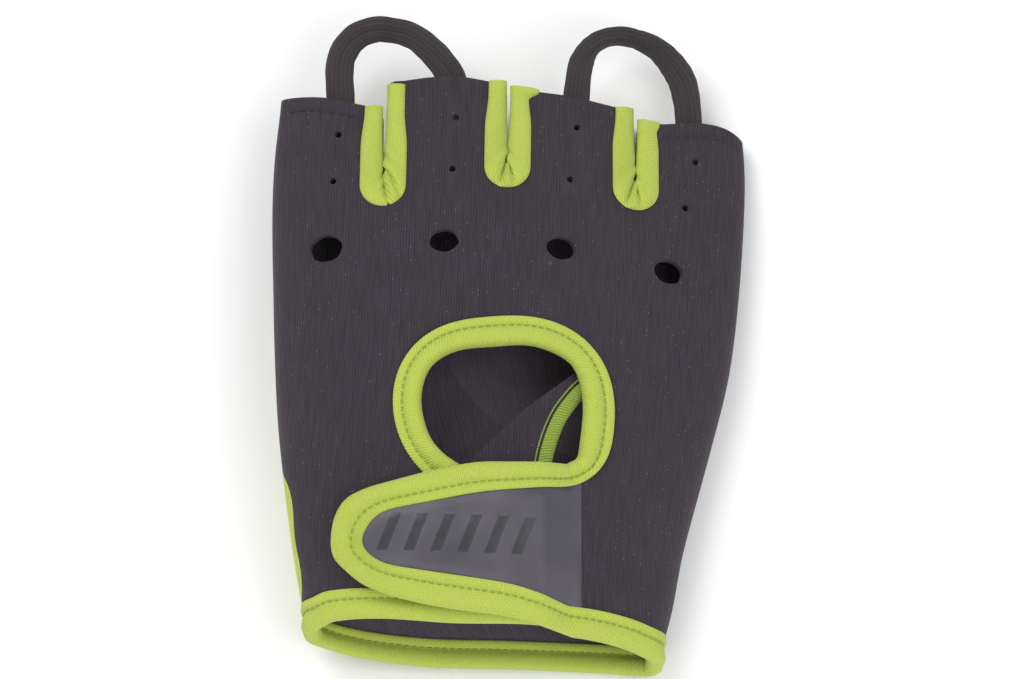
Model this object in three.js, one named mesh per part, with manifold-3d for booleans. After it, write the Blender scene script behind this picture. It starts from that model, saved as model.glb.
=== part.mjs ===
// A fingerless weightlifting glove for the right hand, lying on its palm with the thumb folded under it.
// Millimetres. +X runs to the little finger, +Y to the fingertips and +Z up through the back of the hand.
import * as THREE from "three";
import { mergeVertices } from "three/addons/utils/BufferGeometryUtils.js";
import Module from "manifold-3d";

const wasm = await Module();
wasm.setup();

// Overall sizes
const PALM_WIDTH = 106.6; // across the knuckles, lying flat
const GLOVE_LENGTH = 133; // from the wrist hem to the edge of the middle finger
const HAND_DEPTH = 22; // from the palm to the back of the hand, outside
const CLEARANCE = 0.3; // between pieces that touch on the real glove

// Cloth and tape
const CLOTH = 1.8; // knitted neoprene wall
const SEAM_INSET = 4.6; // how far the back wraps round on to the palm side
const TAPE_WIDTH = 6.6; // binding tape, folded over an edge
const TAPE_FOLD = 1.2; // tape outside the edge that it binds
const TAPE_THICKNESS = 3.4; // over both layers, at the rolled edge
const TAPE_LIP = 0.3; // tape thickness at its stitched edge
const SLOT_TAPE_WIDTH = 4.4; // the narrower tape of the finger slots
const SLOT_TAPE_RISE = 1.1; // how far it stands out of the cloth
const SLOT_TAPE_GAP = 0.5; // under it, where the cloth dips towards the slot
const SLOT_GAP = 1.8; // open gap between the two tapes of a slot
const SLOT_OVERRUN = 0.8; // how far its tapes run past the finger edge

// Closure strap: how high its middle lies above the outside of the back, over the flap and at its sewn end
const STRAP_RISE = { over: TAPE_THICKNESS + CLEARANCE - CLOTH / 2, sewn: 0.2 };
const FLAP_GAP = 1; // below the back
const FLAP_DROP = { over: 1.5 * CLOTH + FLAP_GAP, bound: CLOTH + TAPE_THICKNESS / 2 + FLAP_GAP };

// Thumb
const THUMB_LIFT = 10; // how far the folded thumb props up the palm
const THUMB_HEIGHT = THUMB_LIFT - CLEARANCE;
const THUMB_PRESSED = 0.3; // how much of its underside is flattened on the floor
const LITTLE_SIDE_DROP = 3.2; // how far the palm sags to the floor beside the thumb
const THUMB_SQUARENESS = 0.7; // of its sections: 1 is an ellipse, 0 a rectangle
const THUMB_HOLE = { along: 0.405, across: -0.235, rx: 10.5, ry: 14 };

// Holes and pull loops
const KNUCKLE_HOLE = { rx: 3.3, ry: 2.5 };
const VENT_RADIUS = 0.8;
const LOOP_WIDTH = 6.4;
const LOOP_THICKNESS = 1.6;
const LOOP_GAP = 0.5; // between a loop and the inside of the back
const LOOP_ROOT = 8; // length of a loop's leg inside the finger
const LOOP_REACH = 16; // how far a loop stands out beyond the finger edge
const LOOP_TUCK = 6; // how far its rise may start behind the edge between its legs

// Plan of the glove, as shares: along the length from the wrist, and of half the palm width to each side.
// depth is a share of HAND_DEPTH, and lift a share of THUMB_LIFT.
const SECTIONS = [
  { along: -0.05, thumbSide: -0.82, littleSide: 0.613, depth: 0.92, lift: 0.1 },
  { along: 0.0, thumbSide: -0.835, littleSide: 0.621, depth: 0.95, lift: 0.15 },
  { along: 0.1, thumbSide: -0.878, littleSide: 0.684, depth: 1.0, lift: 0.5 },
  { along: 0.2, thumbSide: -0.918, littleSide: 0.732, depth: 1.0, lift: 0.95 },
  { along: 0.38, thumbSide: -0.966, littleSide: 0.851, depth: 1.0, lift: 1.0 },
  { along: 0.5, thumbSide: -0.984, littleSide: 0.925, depth: 1.0, lift: 1.0 },
  { along: 0.62, thumbSide: -0.993, littleSide: 0.966, depth: 0.97, lift: 1.0 },
  { along: 0.76, thumbSide: -1.0, littleSide: 0.993, depth: 0.87, lift: 1.0 },
  { along: 0.86, thumbSide: -0.992, littleSide: 1.0, depth: 0.76, lift: 1.0 },
  { along: 0.95, thumbSide: -0.97, littleSide: 0.985, depth: 0.66, lift: 0.95 },
  { along: 1.05, thumbSide: -0.95, littleSide: 0.96, depth: 0.6, lift: 0.85 },
];
const ROUNDNESS = 2.5; // of the sections: 2 is an ellipse
const LIFT_FADE = { from: -0.06, to: 0.9 }; // shares of half the width between which the lift runs out
const FINGER_BULGE = 1.3; // height of the swell over each finger
const BULGE_START = 0.72; // share of the length where the swell starts

// Plan outlines: across is a share of the palm width from the middle, along a share of the length.
const FINGER_EDGE = [
  { across: -0.56, along: 0.96 },
  { across: -0.484, along: 0.969 },
  { across: -0.4, along: 0.966 },
  { across: -0.31, along: 0.95 },
  { across: -0.22, along: 0.992 },
  { across: -0.12, along: 0.998 },
  { across: -0.04, along: 0.99 },
  { across: 0.05, along: 0.974 },
  { across: 0.14, along: 0.966 },
  { across: 0.225, along: 0.957 },
  { across: 0.32, along: 0.934 },
  { across: 0.41, along: 0.936 },
  { across: 0.475, along: 0.922 },
  { across: 0.56, along: 0.87 },
];
const SLOTS = [
  { name: "index_middle", across: -0.266, along: 0.803, lean: 0.004 },
  { name: "middle_ring", across: 0.0, along: 0.834, lean: -0.002 },
  { name: "ring_little", across: 0.272, along: 0.812, lean: -0.006 },
];
const PALM_HEM = [
  { across: -0.56, along: 0.05 },
  { across: -0.407, along: 0.0465 },
  { across: -0.35, along: 0.038 },
  { across: -0.274, along: 0.029 },
  { across: -0.16, along: 0.021 },
  { across: 0.0, along: 0.018 },
  { across: 0.2, along: 0.011 },
  { across: 0.312, along: 0.001 },
  { across: 0.56, along: -0.002 },
];
const BACK_HEM = [
  { across: -0.56, along: 0.054 },
  { across: -0.407, along: 0.062 },
  { across: -0.373, along: 0.07 },
  { across: -0.274, along: 0.071 },
  { across: -0.12, along: 0.062 },
  { across: 0.09, along: 0.058 },
  { across: 0.127, along: 0.048 },
  { across: 0.16, along: 0.04 },
  { across: 0.2, along: 0.031 },
  { across: 0.247, along: 0.02 },
  { across: 0.312, along: 0.007 },
  { across: 0.56, along: -0.002 },
];
const WINDOW = [
  { across: 0.131, along: 0.308 },
  { across: 0.144, along: 0.309 },
  { across: 0.155, along: 0.317 },
  { across: 0.163, along: 0.345 },
  { across: 0.169, along: 0.422 },
  { across: 0.156, along: 0.472 },
  { across: 0.124, along: 0.505 },
  { across: 0.053, along: 0.526 },
  { across: -0.03, along: 0.526 },
  { across: -0.117, along: 0.517 },
  { across: -0.175, along: 0.485 },
  { across: -0.196, along: 0.428 },
  { across: -0.181, along: 0.366 },
  { across: -0.148, along: 0.328 },
  { across: -0.1, along: 0.3 },
];
// The hidden gap under the strap, between the end of the thumb side's flap and the little-finger side.
const SLIT = { flap: 0.06, sewn: 0.152, top: 0.29, bottom: -0.04 };
// The strap's bound edge, and the stitched edge of its tape inside it.
const STRAP = [
  { across: 0.124, along: 0.308, stitchedAcross: 0.124, stitchedAlong: 0.277 },
  { across: 0.075, along: 0.308, stitchedAcross: 0.075, stitchedAlong: 0.27 },
  { across: 0.005, along: 0.307, stitchedAcross: 0.005, stitchedAlong: 0.264 },
  { across: -0.066, along: 0.304, stitchedAcross: -0.062, stitchedAlong: 0.259 },
  { across: -0.145, along: 0.29, stitchedAcross: -0.135, stitchedAlong: 0.248 },
  { across: -0.225, along: 0.275, stitchedAcross: -0.21, stitchedAlong: 0.237 },
  { across: -0.293, along: 0.261, stitchedAcross: -0.268, stitchedAlong: 0.228 },
  { across: -0.333, along: 0.243, stitchedAcross: -0.292, stitchedAlong: 0.209 },
  { across: -0.354, along: 0.215, stitchedAcross: -0.303, stitchedAlong: 0.192 },
  { across: -0.361, along: 0.182, stitchedAcross: -0.309, stitchedAlong: 0.179 },
  { across: -0.355, along: 0.158, stitchedAcross: -0.302, stitchedAlong: 0.165 },
  { across: -0.333, along: 0.139, stitchedAcross: -0.287, stitchedAlong: 0.157 },
  { across: -0.293, along: 0.122, stitchedAcross: -0.262, stitchedAlong: 0.15 },
  { across: -0.23, along: 0.106, stitchedAcross: -0.208, stitchedAlong: 0.143 },
  { across: -0.13, along: 0.091, stitchedAcross: -0.11, stitchedAlong: 0.132 },
  { across: 0.0, along: 0.078, stitchedAcross: 0.008, stitchedAlong: 0.118 },
  { across: 0.075, along: 0.064, stitchedAcross: 0.075, stitchedAlong: 0.103 },
  { across: 0.124, along: 0.051, stitchedAcross: 0.124, stitchedAlong: 0.091 },
];
const STRAP_END = { across: 0.149, top: 0.274, bottom: 0.09, rampFrom: 0.075, rampTo: 0.124 };
const FLAP = [
  { across: -0.1, along: 0.1 },
  { across: -0.1, along: 0.29 },
  { across: -0.068, along: 0.335 },
  { across: 0.03, along: 0.415 },
  { across: 0.127, along: 0.478 },
  { across: 0.15, along: 0.462 },
];
const FLAP_EDGE = [
  { across: 0.15, along: 0.445 },
  { across: 0.105, along: 0.39 },
  { across: 0.072, along: 0.32 },
  { across: 0.06, along: 0.2 },
  { across: 0.056, along: 0.1 },
];
const GRIP_EDGE = [
  { across: 0.56, along: 0.235 },
  { across: 0.421, along: 0.263 },
  { across: 0.238, along: 0.329 },
  { across: 0.04, along: 0.391 },
  { across: -0.04, along: 0.426 },
  { across: -0.1, along: 0.48 },
  { across: -0.17, along: 0.57 },
  { across: -0.26, along: 0.64 },
  { across: -0.357, along: 0.657 },
  { across: -0.56, along: 0.657 },
];
// The folded thumb: outer is its edge towards the thumb side, inner its edge towards the little finger.
const THUMB_SECTIONS = [
  { along: 0.226, outer: -0.214, inner: -0.188, height: 0.3 },
  { along: 0.232, outer: -0.244, inner: -0.157, height: 0.55 },
  { along: 0.242, outer: -0.272, inner: -0.128, height: 0.75 },
  { along: 0.258, outer: -0.298, inner: -0.105, height: 0.88 },
  { along: 0.285, outer: -0.325, inner: -0.088, height: 0.96 },
  { along: 0.33, outer: -0.355, inner: -0.075, height: 1.0 },
  { along: 0.43, outer: -0.393, inner: -0.092, height: 1.0 },
  { along: 0.533, outer: -0.405, inner: -0.089, height: 1.0 },
  { along: 0.604, outer: -0.393, inner: -0.076, height: 1.0 },
  { along: 0.7, outer: -0.352, inner: -0.053, height: 0.97 },
  { along: 0.8, outer: -0.298, inner: -0.03, height: 0.92 },
  { along: 0.94, outer: -0.21, inner: -0.005, height: 0.86 },
];
const THUMB_TIP = { inner: { across: 0.04, along: 0.773 }, outer: { across: -0.36, along: 0.908 } };
const THUMB_STRIP = [
  { across: -0.055, along: 0.95 },
  { across: -0.075, along: 0.8 },
  { across: -0.099, along: 0.713 },
  { across: -0.159, along: 0.507 },
  { across: -0.198, along: 0.352 },
  { across: -0.208, along: 0.15 },
];
const THUMB_VENTS = [
  { across: -0.222, along: 0.767 },
  { across: -0.258, along: 0.684 },
  { across: -0.288, along: 0.56 },
  { across: -0.313, along: 0.448 },
];
const KNUCKLE_HOLES = [
  { across: -0.386, along: 0.693 },
  { across: -0.137, along: 0.702 },
  { across: 0.11, along: 0.693 },
  { across: 0.338, along: 0.67 },
];
const VENTS = [
  { across: -0.361, along: 0.897 },
  { across: -0.371, along: 0.812 },
  { across: -0.112, along: 0.924 },
  { across: -0.12, along: 0.831 },
  { across: 0.143, along: 0.912 },
  { across: 0.129, along: 0.817 },
  { across: 0.395, along: 0.87 },
  { across: 0.373, along: 0.786 },
];
// Pull loops: reach is a share of LOOP_REACH beyond the finger edge, turn the roll of the tape in degrees.
const LOOPS = [
  {
    name: "index_middle",
    roots: [-0.356, -0.12],
    points: [
      { across: -0.36, reach: 0.25, turn: 12 },
      { across: -0.352, reach: 0.56, turn: 20 },
      { across: -0.322, reach: 0.82, turn: 35 },
      { across: -0.27, reach: 0.91, turn: 42 },
      { across: -0.214, reach: 0.8, turn: 35 },
      { across: -0.166, reach: 0.52, turn: 20 },
      { across: -0.135, reach: 0.25, turn: 10 },
    ],
  },
  {
    name: "ring_little",
    roots: [0.142, 0.38],
    points: [
      { across: 0.144, reach: 0.3, turn: 10 },
      { across: 0.152, reach: 0.75, turn: 25 },
      { across: 0.182, reach: 1.14, turn: 50 },
      { across: 0.242, reach: 1.31, turn: 62 },
      { across: 0.314, reach: 1.14, turn: 50 },
      { across: 0.362, reach: 0.72, turn: 25 },
      { across: 0.377, reach: 0.3, turn: 10 },
    ],
  },
];

// Facets: enough for the form, few enough to stay light
const RING_STEPS = 48;
const RING_EVENNESS = 0.3; // share of even spacing across, against spacing by angle
const ROWS = [-0.06, 0, 0.05, 0.1, 0.16, 0.23, 0.33, 0.44, 0.55, 0.66, 0.76, 0.85, 0.93, 1.06];
const PATH_STEP = 4.4;
const HEM_STEP = 4;
const STRAP_STEP = 4;
const FAR = 60; // more than the glove's depth and half its width
const HOLE_FLOOR = 12; // between the two walls, where holes in the back stop
const WRIST_TAPE = { from: 1.21, to: 2 * Math.PI + 1.005 }; // angles round the glove

const COLOURS = {
  cloth: { color: 0x37323c, roughness: 0.9, metalness: 0 },
  grip: { color: 0x4a4852, roughness: 0.75, metalness: 0 },
  bright: { color: 0xb5d433, roughness: 0.85, metalness: 0 },
  rubber: { color: 0x57545e, roughness: 0.5, metalness: 0 },
};

// Reading the tables

const planX = (across) => across * PALM_WIDTH;
const planY = (along) => along * GLOVE_LENGTH;
const planPoint = (row) => new THREE.Vector2(planX(row.across), planY(row.along));
const smooth = (t) => {
  const s = THREE.MathUtils.clamp(t, 0, 1);
  return s * s * (3 - 2 * s);
};

// The value of a column at a place along a table, on a smooth curve through its rows.
function fromTable(rows, key, column, at) {
  const last = rows.length - 1;
  if (at <= rows[0][key]) return rows[0][column];
  if (at >= rows[last][key]) return rows[last][column];
  const i = rows.findIndex((row) => row[key] > at) - 1;
  const slope = (k) => {
    const a = rows[Math.max(k - 1, 0)];
    const b = rows[Math.min(k + 1, last)];
    return (b[column] - a[column]) / (b[key] - a[key]);
  };
  const span = rows[i + 1][key] - rows[i][key];
  const t = (at - rows[i][key]) / span;
  const h = t * t * (3 - 2 * t);
  const bend = slope(i) * (t - 2 * t * t + t * t * t) + slope(i + 1) * (t * t * t - t * t);
  return rows[i][column] * (1 - h) + rows[i + 1][column] * h + span * bend;
}

// The glove's form

// Edges, heights and lift of the glove at a place along it.
function sectionAt(y) {
  const along = y / GLOVE_LENGTH;
  const read = (column) => fromTable(SECTIONS, "along", column, along);
  const half = PALM_WIDTH / 2;
  const left = read("thumbSide") * half;
  const right = read("littleSide") * half;
  const depth = read("depth") * HAND_DEPTH;
  return {
    middle: (left + right) / 2,
    halfWidth: (right - left) / 2,
    top: depth * 0.58,
    bottom: depth * 0.42,
    lift: read("lift") * THUMB_LIFT,
    drop: read("depth") * LITTLE_SIDE_DROP,
    along,
  };
}

function liftAt(section, x) {
  const share = (2 * x) / PALM_WIDTH;
  const fade = smooth((share - LIFT_FADE.from) / (LIFT_FADE.to - LIFT_FADE.from));
  return section.lift * (1 - fade) - section.drop * fade;
}

// The swell over each finger, which dips at the slots.
function fingerBulge(section, x) {
  const slots = SLOTS.map((slot) => planX(slot.across));
  const edges = [section.middle - section.halfWidth, ...slots, section.middle + section.halfWidth];
  const i = Math.max(edges.findIndex((edge, k) => k > 0 && x <= edge), 1);
  const t = THREE.MathUtils.clamp((x - edges[i - 1]) / (edges[i] - edges[i - 1]), 0, 1);
  const swell = Math.sin(Math.PI * t) ** 2;
  return FINGER_BULGE * (swell - 0.5) * smooth((section.along - BULGE_START) / (1 - BULGE_START));
}

const seamHeight = (section, x) => section.bottom + liftAt(section, x);

// Outside height of the back (side 1) or the palm (side -1) over a point of the plan.
function heightAt(x, y, side = 1) {
  const section = sectionAt(y);
  const share = Math.min(Math.abs(x - section.middle) / section.halfWidth, 0.995);
  const rise = (1 - share ** ROUNDNESS) ** (1 / ROUNDNESS);
  const reach = side > 0 ? section.top : section.bottom;
  return Math.max(seamHeight(section, x) + side * (reach + fingerBulge(section, x)) * rise, 0);
}

// One ring of points round the glove, grown outwards by a given amount.
function ringAt(y, grown) {
  const section = sectionAt(y);
  return turnsOf(RING_STEPS).map((angle) => ringPoint(section, y, angle, grown));
}

function ringPoint(section, y, angle, grown) {
  const even = 1 - (2 / Math.PI) * Math.acos(Math.cos(angle));
  const across = THREE.MathUtils.lerp(Math.cos(angle), even, RING_EVENNESS);
  const rise = (1 - Math.abs(across) ** ROUNDNESS) ** (1 / ROUNDNESS);
  const side = Math.sign(Math.sin(angle));
  const x = section.middle + (section.halfWidth + grown) * across;
  const reach = (side > 0 ? section.top : section.bottom) + fingerBulge(section, x) + grown;
  return new THREE.Vector3(x, y, Math.max(seamHeight(section, x) + side * reach * rise, -grown));
}

// Making solids

function solidOf(geometry) {
  const bare = geometry.index ? geometry.toNonIndexed() : geometry.clone();
  bare.deleteAttribute("normal");
  bare.deleteAttribute("uv");
  const merged = mergeVertices(bare, 1e-4);
  const triVerts = new Uint32Array(merged.index.array);
  const made = (triangles) =>
    new wasm.Manifold(
      new wasm.Mesh({ numProp: 3, vertProperties: merged.attributes.position.array, triVerts: triangles }),
    );
  const solid = made(triVerts);
  return solid.volume() > 0 ? solid : made(triVerts.reverse());
}

// A solid through rings of points, with its two ends closed by the given triangles or by a fan.
function loft(rings, endFaces) {
  const count = rings[0].length;
  const points = rings.flat();
  const faces = [];
  for (let k = 0; k < rings.length - 1; k++) {
    const a = k * count;
    const b = a + count;
    for (let i = 0; i < count; i++) {
      const j = (i + 1) % count;
      faces.push(a + i, a + j, b + i, a + j, b + j, b + i);
    }
  }
  const fan = steps(1, count - 2, count - 3).map((i) => [0, i, i + 1]);
  const far = (rings.length - 1) * count;
  for (const [i, j, k] of endFaces ?? fan) faces.push(i, k, j, far + i, far + j, far + k);
  const geometry = new THREE.BufferGeometry().setFromPoints(points);
  geometry.setIndex(faces);
  return solidOf(geometry);
}

const steps = (from, to, count) =>
  Array.from({ length: count + 1 }, (_, i) => from + ((to - from) * i) / count);
const turnsOf = (count) => steps(0, 2 * Math.PI, count).slice(0, -1);

// The whole glove as a filled tube, grown by a given amount, open-ended past the wrist and the fingers.
function tube(grown) {
  return loft(ROWS.map((along) => ringAt(planY(along), grown)));
}

// A solid between two heights over a rectangle of the plan.
function block(xs, ys, low, high) {
  return loft(
    ys.map((y) => [
      ...xs.map((x) => new THREE.Vector3(x, y, low(x, y))),
      ...[...xs].reverse().map((x) => new THREE.Vector3(x, y, high(x, y))),
    ]),
  );
}

// An upright prism over a closed outline of plan points.
function prism(outline, low = -FAR, high = FAR) {
  const shape = new THREE.Shape(outline);
  const geometry = new THREE.ExtrudeGeometry(shape, { depth: high - low, bevelEnabled: false });
  return solidOf(geometry.translate(0, 0, low));
}

// A smooth line through table rows, as plan points about one step apart.
function planCurve(rows, step = PATH_STEP) {
  const curve = new THREE.SplineCurve(rows.map(planPoint));
  return curve.getSpacedPoints(Math.max(Math.round(curve.getLength() / step), 3));
}

// An outline moved outwards by a distance, or inwards if it is negative.
function grow(outline, distance) {
  const turn = Math.sign(THREE.ShapeUtils.area(outline));
  return outline.map((p, i) => {
    const before = outline[(i + outline.length - 1) % outline.length];
    const after = outline[(i + 1) % outline.length];
    const along = after.clone().sub(before).normalize();
    return new THREE.Vector2(p.x + turn * along.y * distance, p.y - turn * along.x * distance);
  });
}

function ellipse(row, rx, ry, count) {
  const c = planPoint(row);
  return turnsOf(count).map((a) => new THREE.Vector2(c.x + rx * Math.cos(a), c.y + ry * Math.sin(a)));
}

// A path moved sideways by a distance, to its right.
function beside(path, distance) {
  return path.map((p, i) => {
    const before = path[Math.max(i - 1, 0)];
    const after = path[Math.min(i + 1, path.length - 1)];
    const along = after.clone().sub(before).normalize();
    return new THREE.Vector2(p.x + along.y * distance, p.y - along.x * distance);
  });
}

// A profile of [share, height] rows carried along two paths side by side: share 0 lies on the first path and
// share 1 on the second, and place gives the point in space at a height over a point of the plan.
function carry(first, second, profile, place) {
  const flat = profile.map(([share, height]) => new THREE.Vector2(share * TAPE_WIDTH, height));
  const turn = THREE.ShapeUtils.area(flat);
  const endFaces = THREE.ShapeUtils.triangulateShape(flat, []).map((face) =>
    THREE.ShapeUtils.area(face.map((i) => flat[i])) * turn > 0 ? face : face.reverse(),
  );
  const ring = (p, i) =>
    profile.map(([share, height]) => {
      const q = p.clone().lerp(second[i], share);
      return place(q.x, q.y, height);
    });
  return loft(first.map(ring), endFaces);
}

// A tape folded over an edge, with the channel that holds the cloth. Share 0 is its fold and share 1 its
// stitched edge.
const holding = CLOTH / 2 + CLEARANCE;
const channel = (TAPE_FOLD - CLEARANCE) / TAPE_WIDTH;
const tapeFace = [
  [0, TAPE_THICKNESS / 4],
  [0.2, TAPE_THICKNESS / 2],
  [1, holding + TAPE_LIP],
  [1, holding],
  [channel, holding],
];
const mirrored = (rows) => rows.map(([share, height]) => [share, -height]).reverse();
const foldedTape = [...tapeFace, ...mirrored(tapeFace)];

// Lays plan points on a surface given by its height, with the surface's normals.
function layOn(points, height) {
  const d = 0.5;
  return points.map((p) => ({
    point: new THREE.Vector3(p.x, p.y, height(p.x, p.y)),
    normal: new THREE.Vector3(
      (height(p.x - d, p.y) - height(p.x + d, p.y)) / (2 * d),
      (height(p.x, p.y - d) - height(p.x, p.y + d)) / (2 * d),
      1,
    ).normalize(),
  }));
}

// A flat band along a path of { point, normal, roll }.
function sweep(path) {
  const w = LOOP_WIDTH / 2;
  const t = LOOP_THICKNESS / 2;
  const flat = 0.8 * w;
  const profile = [[-w, 0], [-flat, -t], [flat, -t], [w, 0], [flat, t], [-flat, t]];
  return loft(
    path.map(({ point, normal, roll }, i) => {
      const before = path[Math.max(i - 1, 0)].point;
      const after = path[Math.min(i + 1, path.length - 1)].point;
      const along = after.clone().sub(before).normalize();
      const square = normal.clone().addScaledVector(along, -normal.dot(along)).normalize();
      const out = square.applyAxisAngle(along, roll);
      const aside = along.clone().cross(out);
      return profile.map(([b, n]) => point.clone().addScaledVector(aside, b).addScaledVector(out, n));
    }),
  );
}

// The glove's walls

const shell = tube(0).subtract(tube(-CLOTH));
const rectangle = (x, y) => [[-x, -y], [x, -y], [x, y], [-x, y]].map((p) => new THREE.Vector2(...p));
const floor = prism(rectangle(2 * PALM_WIDTH, 2 * GLOVE_LENGTH), -FAR, 0);

const gloveXs = steps(-PALM_WIDTH * 0.56, PALM_WIDTH * 0.56, 16);
const gloveYs = steps(planY(-0.07), planY(1.07), ROWS.length);
const underHalf = block(gloveXs, gloveYs, () => -FAR, (x, y) => seamHeight(sectionAt(y), x));

const fingerEdge = planCurve(FINGER_EDGE, HEM_STEP);
const backHem = planCurve(BACK_HEM, HEM_STEP);
const palmHem = planCurve(PALM_HEM, HEM_STEP);
const between = (hem, edge) => [...hem, ...[...edge].reverse()];
const moved = (points, dy) => points.map((p) => new THREE.Vector2(p.x, p.y + dy));

// Plan of the palm: the glove's silhouette drawn in by the seam, between the palm's hem and the finger edge.
function palmPlan(inset) {
  const ys = steps(planY(-0.06), planY(1.06), 2 * ROWS.length);
  const side = (sign) =>
    ys.map((y) => {
      const section = sectionAt(y);
      return new THREE.Vector2(section.middle + sign * (section.halfWidth - inset), y);
    });
  return [...side(1), ...side(-1).reverse()];
}

const palmSide = prism(palmPlan(SEAM_INSET)).intersect(underHalf);
const seamCut = prism(palmPlan(SEAM_INSET - CLEARANCE)).intersect(underHalf);

// Slots between the fingers

const slotTop = (slot) => planY(fromTable(FINGER_EDGE, "across", "along", slot.across)) + SLOT_OVERRUN;

// The edge of a slot as plan points: down one side, round the end and up the other side.
function slotPath(slot, half) {
  const foot = planPoint(slot);
  const up = new THREE.Vector2(planX(slot.across + slot.lean), slotTop(slot)).sub(foot);
  const along = up.clone().normalize();
  const aside = new THREE.Vector2(along.y, -along.x);
  const at = (u, v) => foot.clone().addScaledVector(aside, u).addScaledVector(along, v);
  const leg = steps(up.length(), 0, 4);
  const bend = steps(Math.PI, 2 * Math.PI, 6).slice(1, -1);
  return [
    ...leg.map((v) => at(-half, v)),
    ...bend.map((a) => at(half * Math.cos(a), half * Math.sin(a))),
    ...leg.reverse().map((v) => at(half, v)),
  ];
}

const openSlot = (slot, half) => {
  const path = slotPath(slot, half);
  const rise = new THREE.Vector2(0, FAR / 4);
  return prism([path[0].clone().add(rise), ...path, path[path.length - 1].clone().add(rise)]);
};

// The tape joins the back to the palm through the slot and laps on to both. Heights over 0 are above the
// back, heights under 0 below the palm.
function slotBinding(slot) {
  const wall = (TAPE_FOLD - CLEARANCE) / SLOT_TAPE_WIDTH;
  const face = [
    [0, SLOT_TAPE_RISE * 0.4],
    [wall * 0.6, SLOT_TAPE_RISE],
    [0.7, SLOT_TAPE_RISE * 0.9],
    [1, SLOT_TAPE_GAP + TAPE_LIP],
    [1, SLOT_TAPE_GAP],
    [wall, SLOT_TAPE_GAP],
  ];
  const place = (x, y, height) => new THREE.Vector3(x, y, heightAt(x, y, Math.sign(height)) + height);
  const inside = slotPath(slot, SLOT_GAP / 2);
  return carry(inside, slotPath(slot, SLOT_GAP / 2 + SLOT_TAPE_WIDTH), [...face, ...mirrored(face)], place);
}

// Window, strap and flap

const windowEdge = planCurve(WINDOW);
const slit = [
  [SLIT.flap, SLIT.top],
  [SLIT.flap, SLIT.bottom],
  [SLIT.sewn, SLIT.bottom],
  [SLIT.sewn, SLIT.top],
].map(([across, along]) => planPoint({ across, along }));
const keyhole = prism([...windowEdge, ...slit]);

// The strap lies over the flap and comes down to the cloth at its sewn end.
function strapMiddle(x, y) {
  const down = (x / PALM_WIDTH - STRAP_END.rampFrom) / (STRAP_END.rampTo - STRAP_END.rampFrom);
  const share = THREE.MathUtils.clamp(down, 0, 1);
  return heightAt(x, y) + THREE.MathUtils.lerp(STRAP_RISE.over, STRAP_RISE.sewn, share);
}
const strapCurve = (points) => new THREE.SplineCurve(points).getPoints(2 * (points.length - 1));
const strapEdge = strapCurve(STRAP.map(planPoint));
const strapStitches = strapCurve(
  STRAP.map((row) => planPoint({ across: row.stitchedAcross, along: row.stitchedAlong })),
);
const strapOutline = [
  ...strapEdge,
  planPoint({ across: STRAP[STRAP.length - 1].across, along: STRAP_END.bottom }),
  planPoint({ across: STRAP_END.across, along: STRAP_END.bottom }),
  planPoint({ across: STRAP_END.across, along: STRAP_END.top }),
  planPoint({ across: STRAP[0].across, along: STRAP_END.top }),
];

// Cloth that follows a surface given by the height of its middle, over an outline.
function layer(outline, middle, size, folds = []) {
  const box = new THREE.Box2().setFromPoints(outline).expandByScalar(1);
  const reach = CLOTH / 2;
  const ends = [box.min.x, ...folds, box.max.x];
  const stretch = (x, i) => steps(ends[i], x, Math.ceil((x - ends[i]) / size)).slice(i > 0 ? 1 : 0);
  const xs = ends.slice(1).flatMap(stretch);
  return block(
    xs,
    steps(box.min.y, box.max.y, Math.ceil((box.max.y - box.min.y) / (2 * size))),
    (x, y) => middle(x, y) - reach,
    (x, y) => middle(x, y) + reach,
  ).intersect(prism(outline));
}

function flapMiddle(x, y) {
  const down = smooth((x - planX(-0.06)) / planX(0.07));
  return heightAt(x, y) - THREE.MathUtils.lerp(FLAP_DROP.over, FLAP_DROP.bound, down);
}
const flapEdge = planCurve(FLAP_EDGE);
const flapOutline = [...FLAP.map(planPoint), ...flapEdge];

const on = (middle) => (x, y, height) => new THREE.Vector3(x, y, middle(x, y) + height);
const onBack = on((x, y) => heightAt(x, y) - CLOTH / 2);

// The wrist tape runs from under the strap along the back hem, round the thumb side, along the palm hem
// and up round the little-finger side to the foot of the strap. Its plan is the angle round the glove and y.
function wristTape() {
  const hem = (rows, x) => planY(fromTable(rows, "across", "along", x / PALM_WIDTH));
  const turns = [...turnsOf(RING_STEPS), ...turnsOf(RING_STEPS).map((a) => a + 2 * Math.PI)];
  const between = turns.filter((a) => a > WRIST_TAPE.from && a < WRIST_TAPE.to);
  const edge = [WRIST_TAPE.from, ...between, WRIST_TAPE.to].map((angle) => {
    const rows = Math.sin(angle) >= 0 ? BACK_HEM : PALM_HEM;
    let y = 0;
    for (let pass = 0; pass < 3; pass++) y = hem(rows, ringPoint(sectionAt(y), y, angle, 0).x);
    return new THREE.Vector2(angle, y);
  });
  const place = (angle, y, height) => ringPoint(sectionAt(y), y, angle, height - CLOTH / 2);
  return carry(moved(edge, -TAPE_FOLD), moved(edge, TAPE_WIDTH - TAPE_FOLD), foldedTape, place);
}

// The thumb

// The thumb as a filled tube, drawn in by an inset.
function thumbTube(inset) {
  const rows = THUMB_SECTIONS.map((row) => planY(row.along));
  const root = rows[0] + inset;
  const ys = [root, ...rows.filter((y) => y > root + inset / 2)];
  return loft(ys.map((y) => thumbRing(y, inset)));
}

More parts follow.
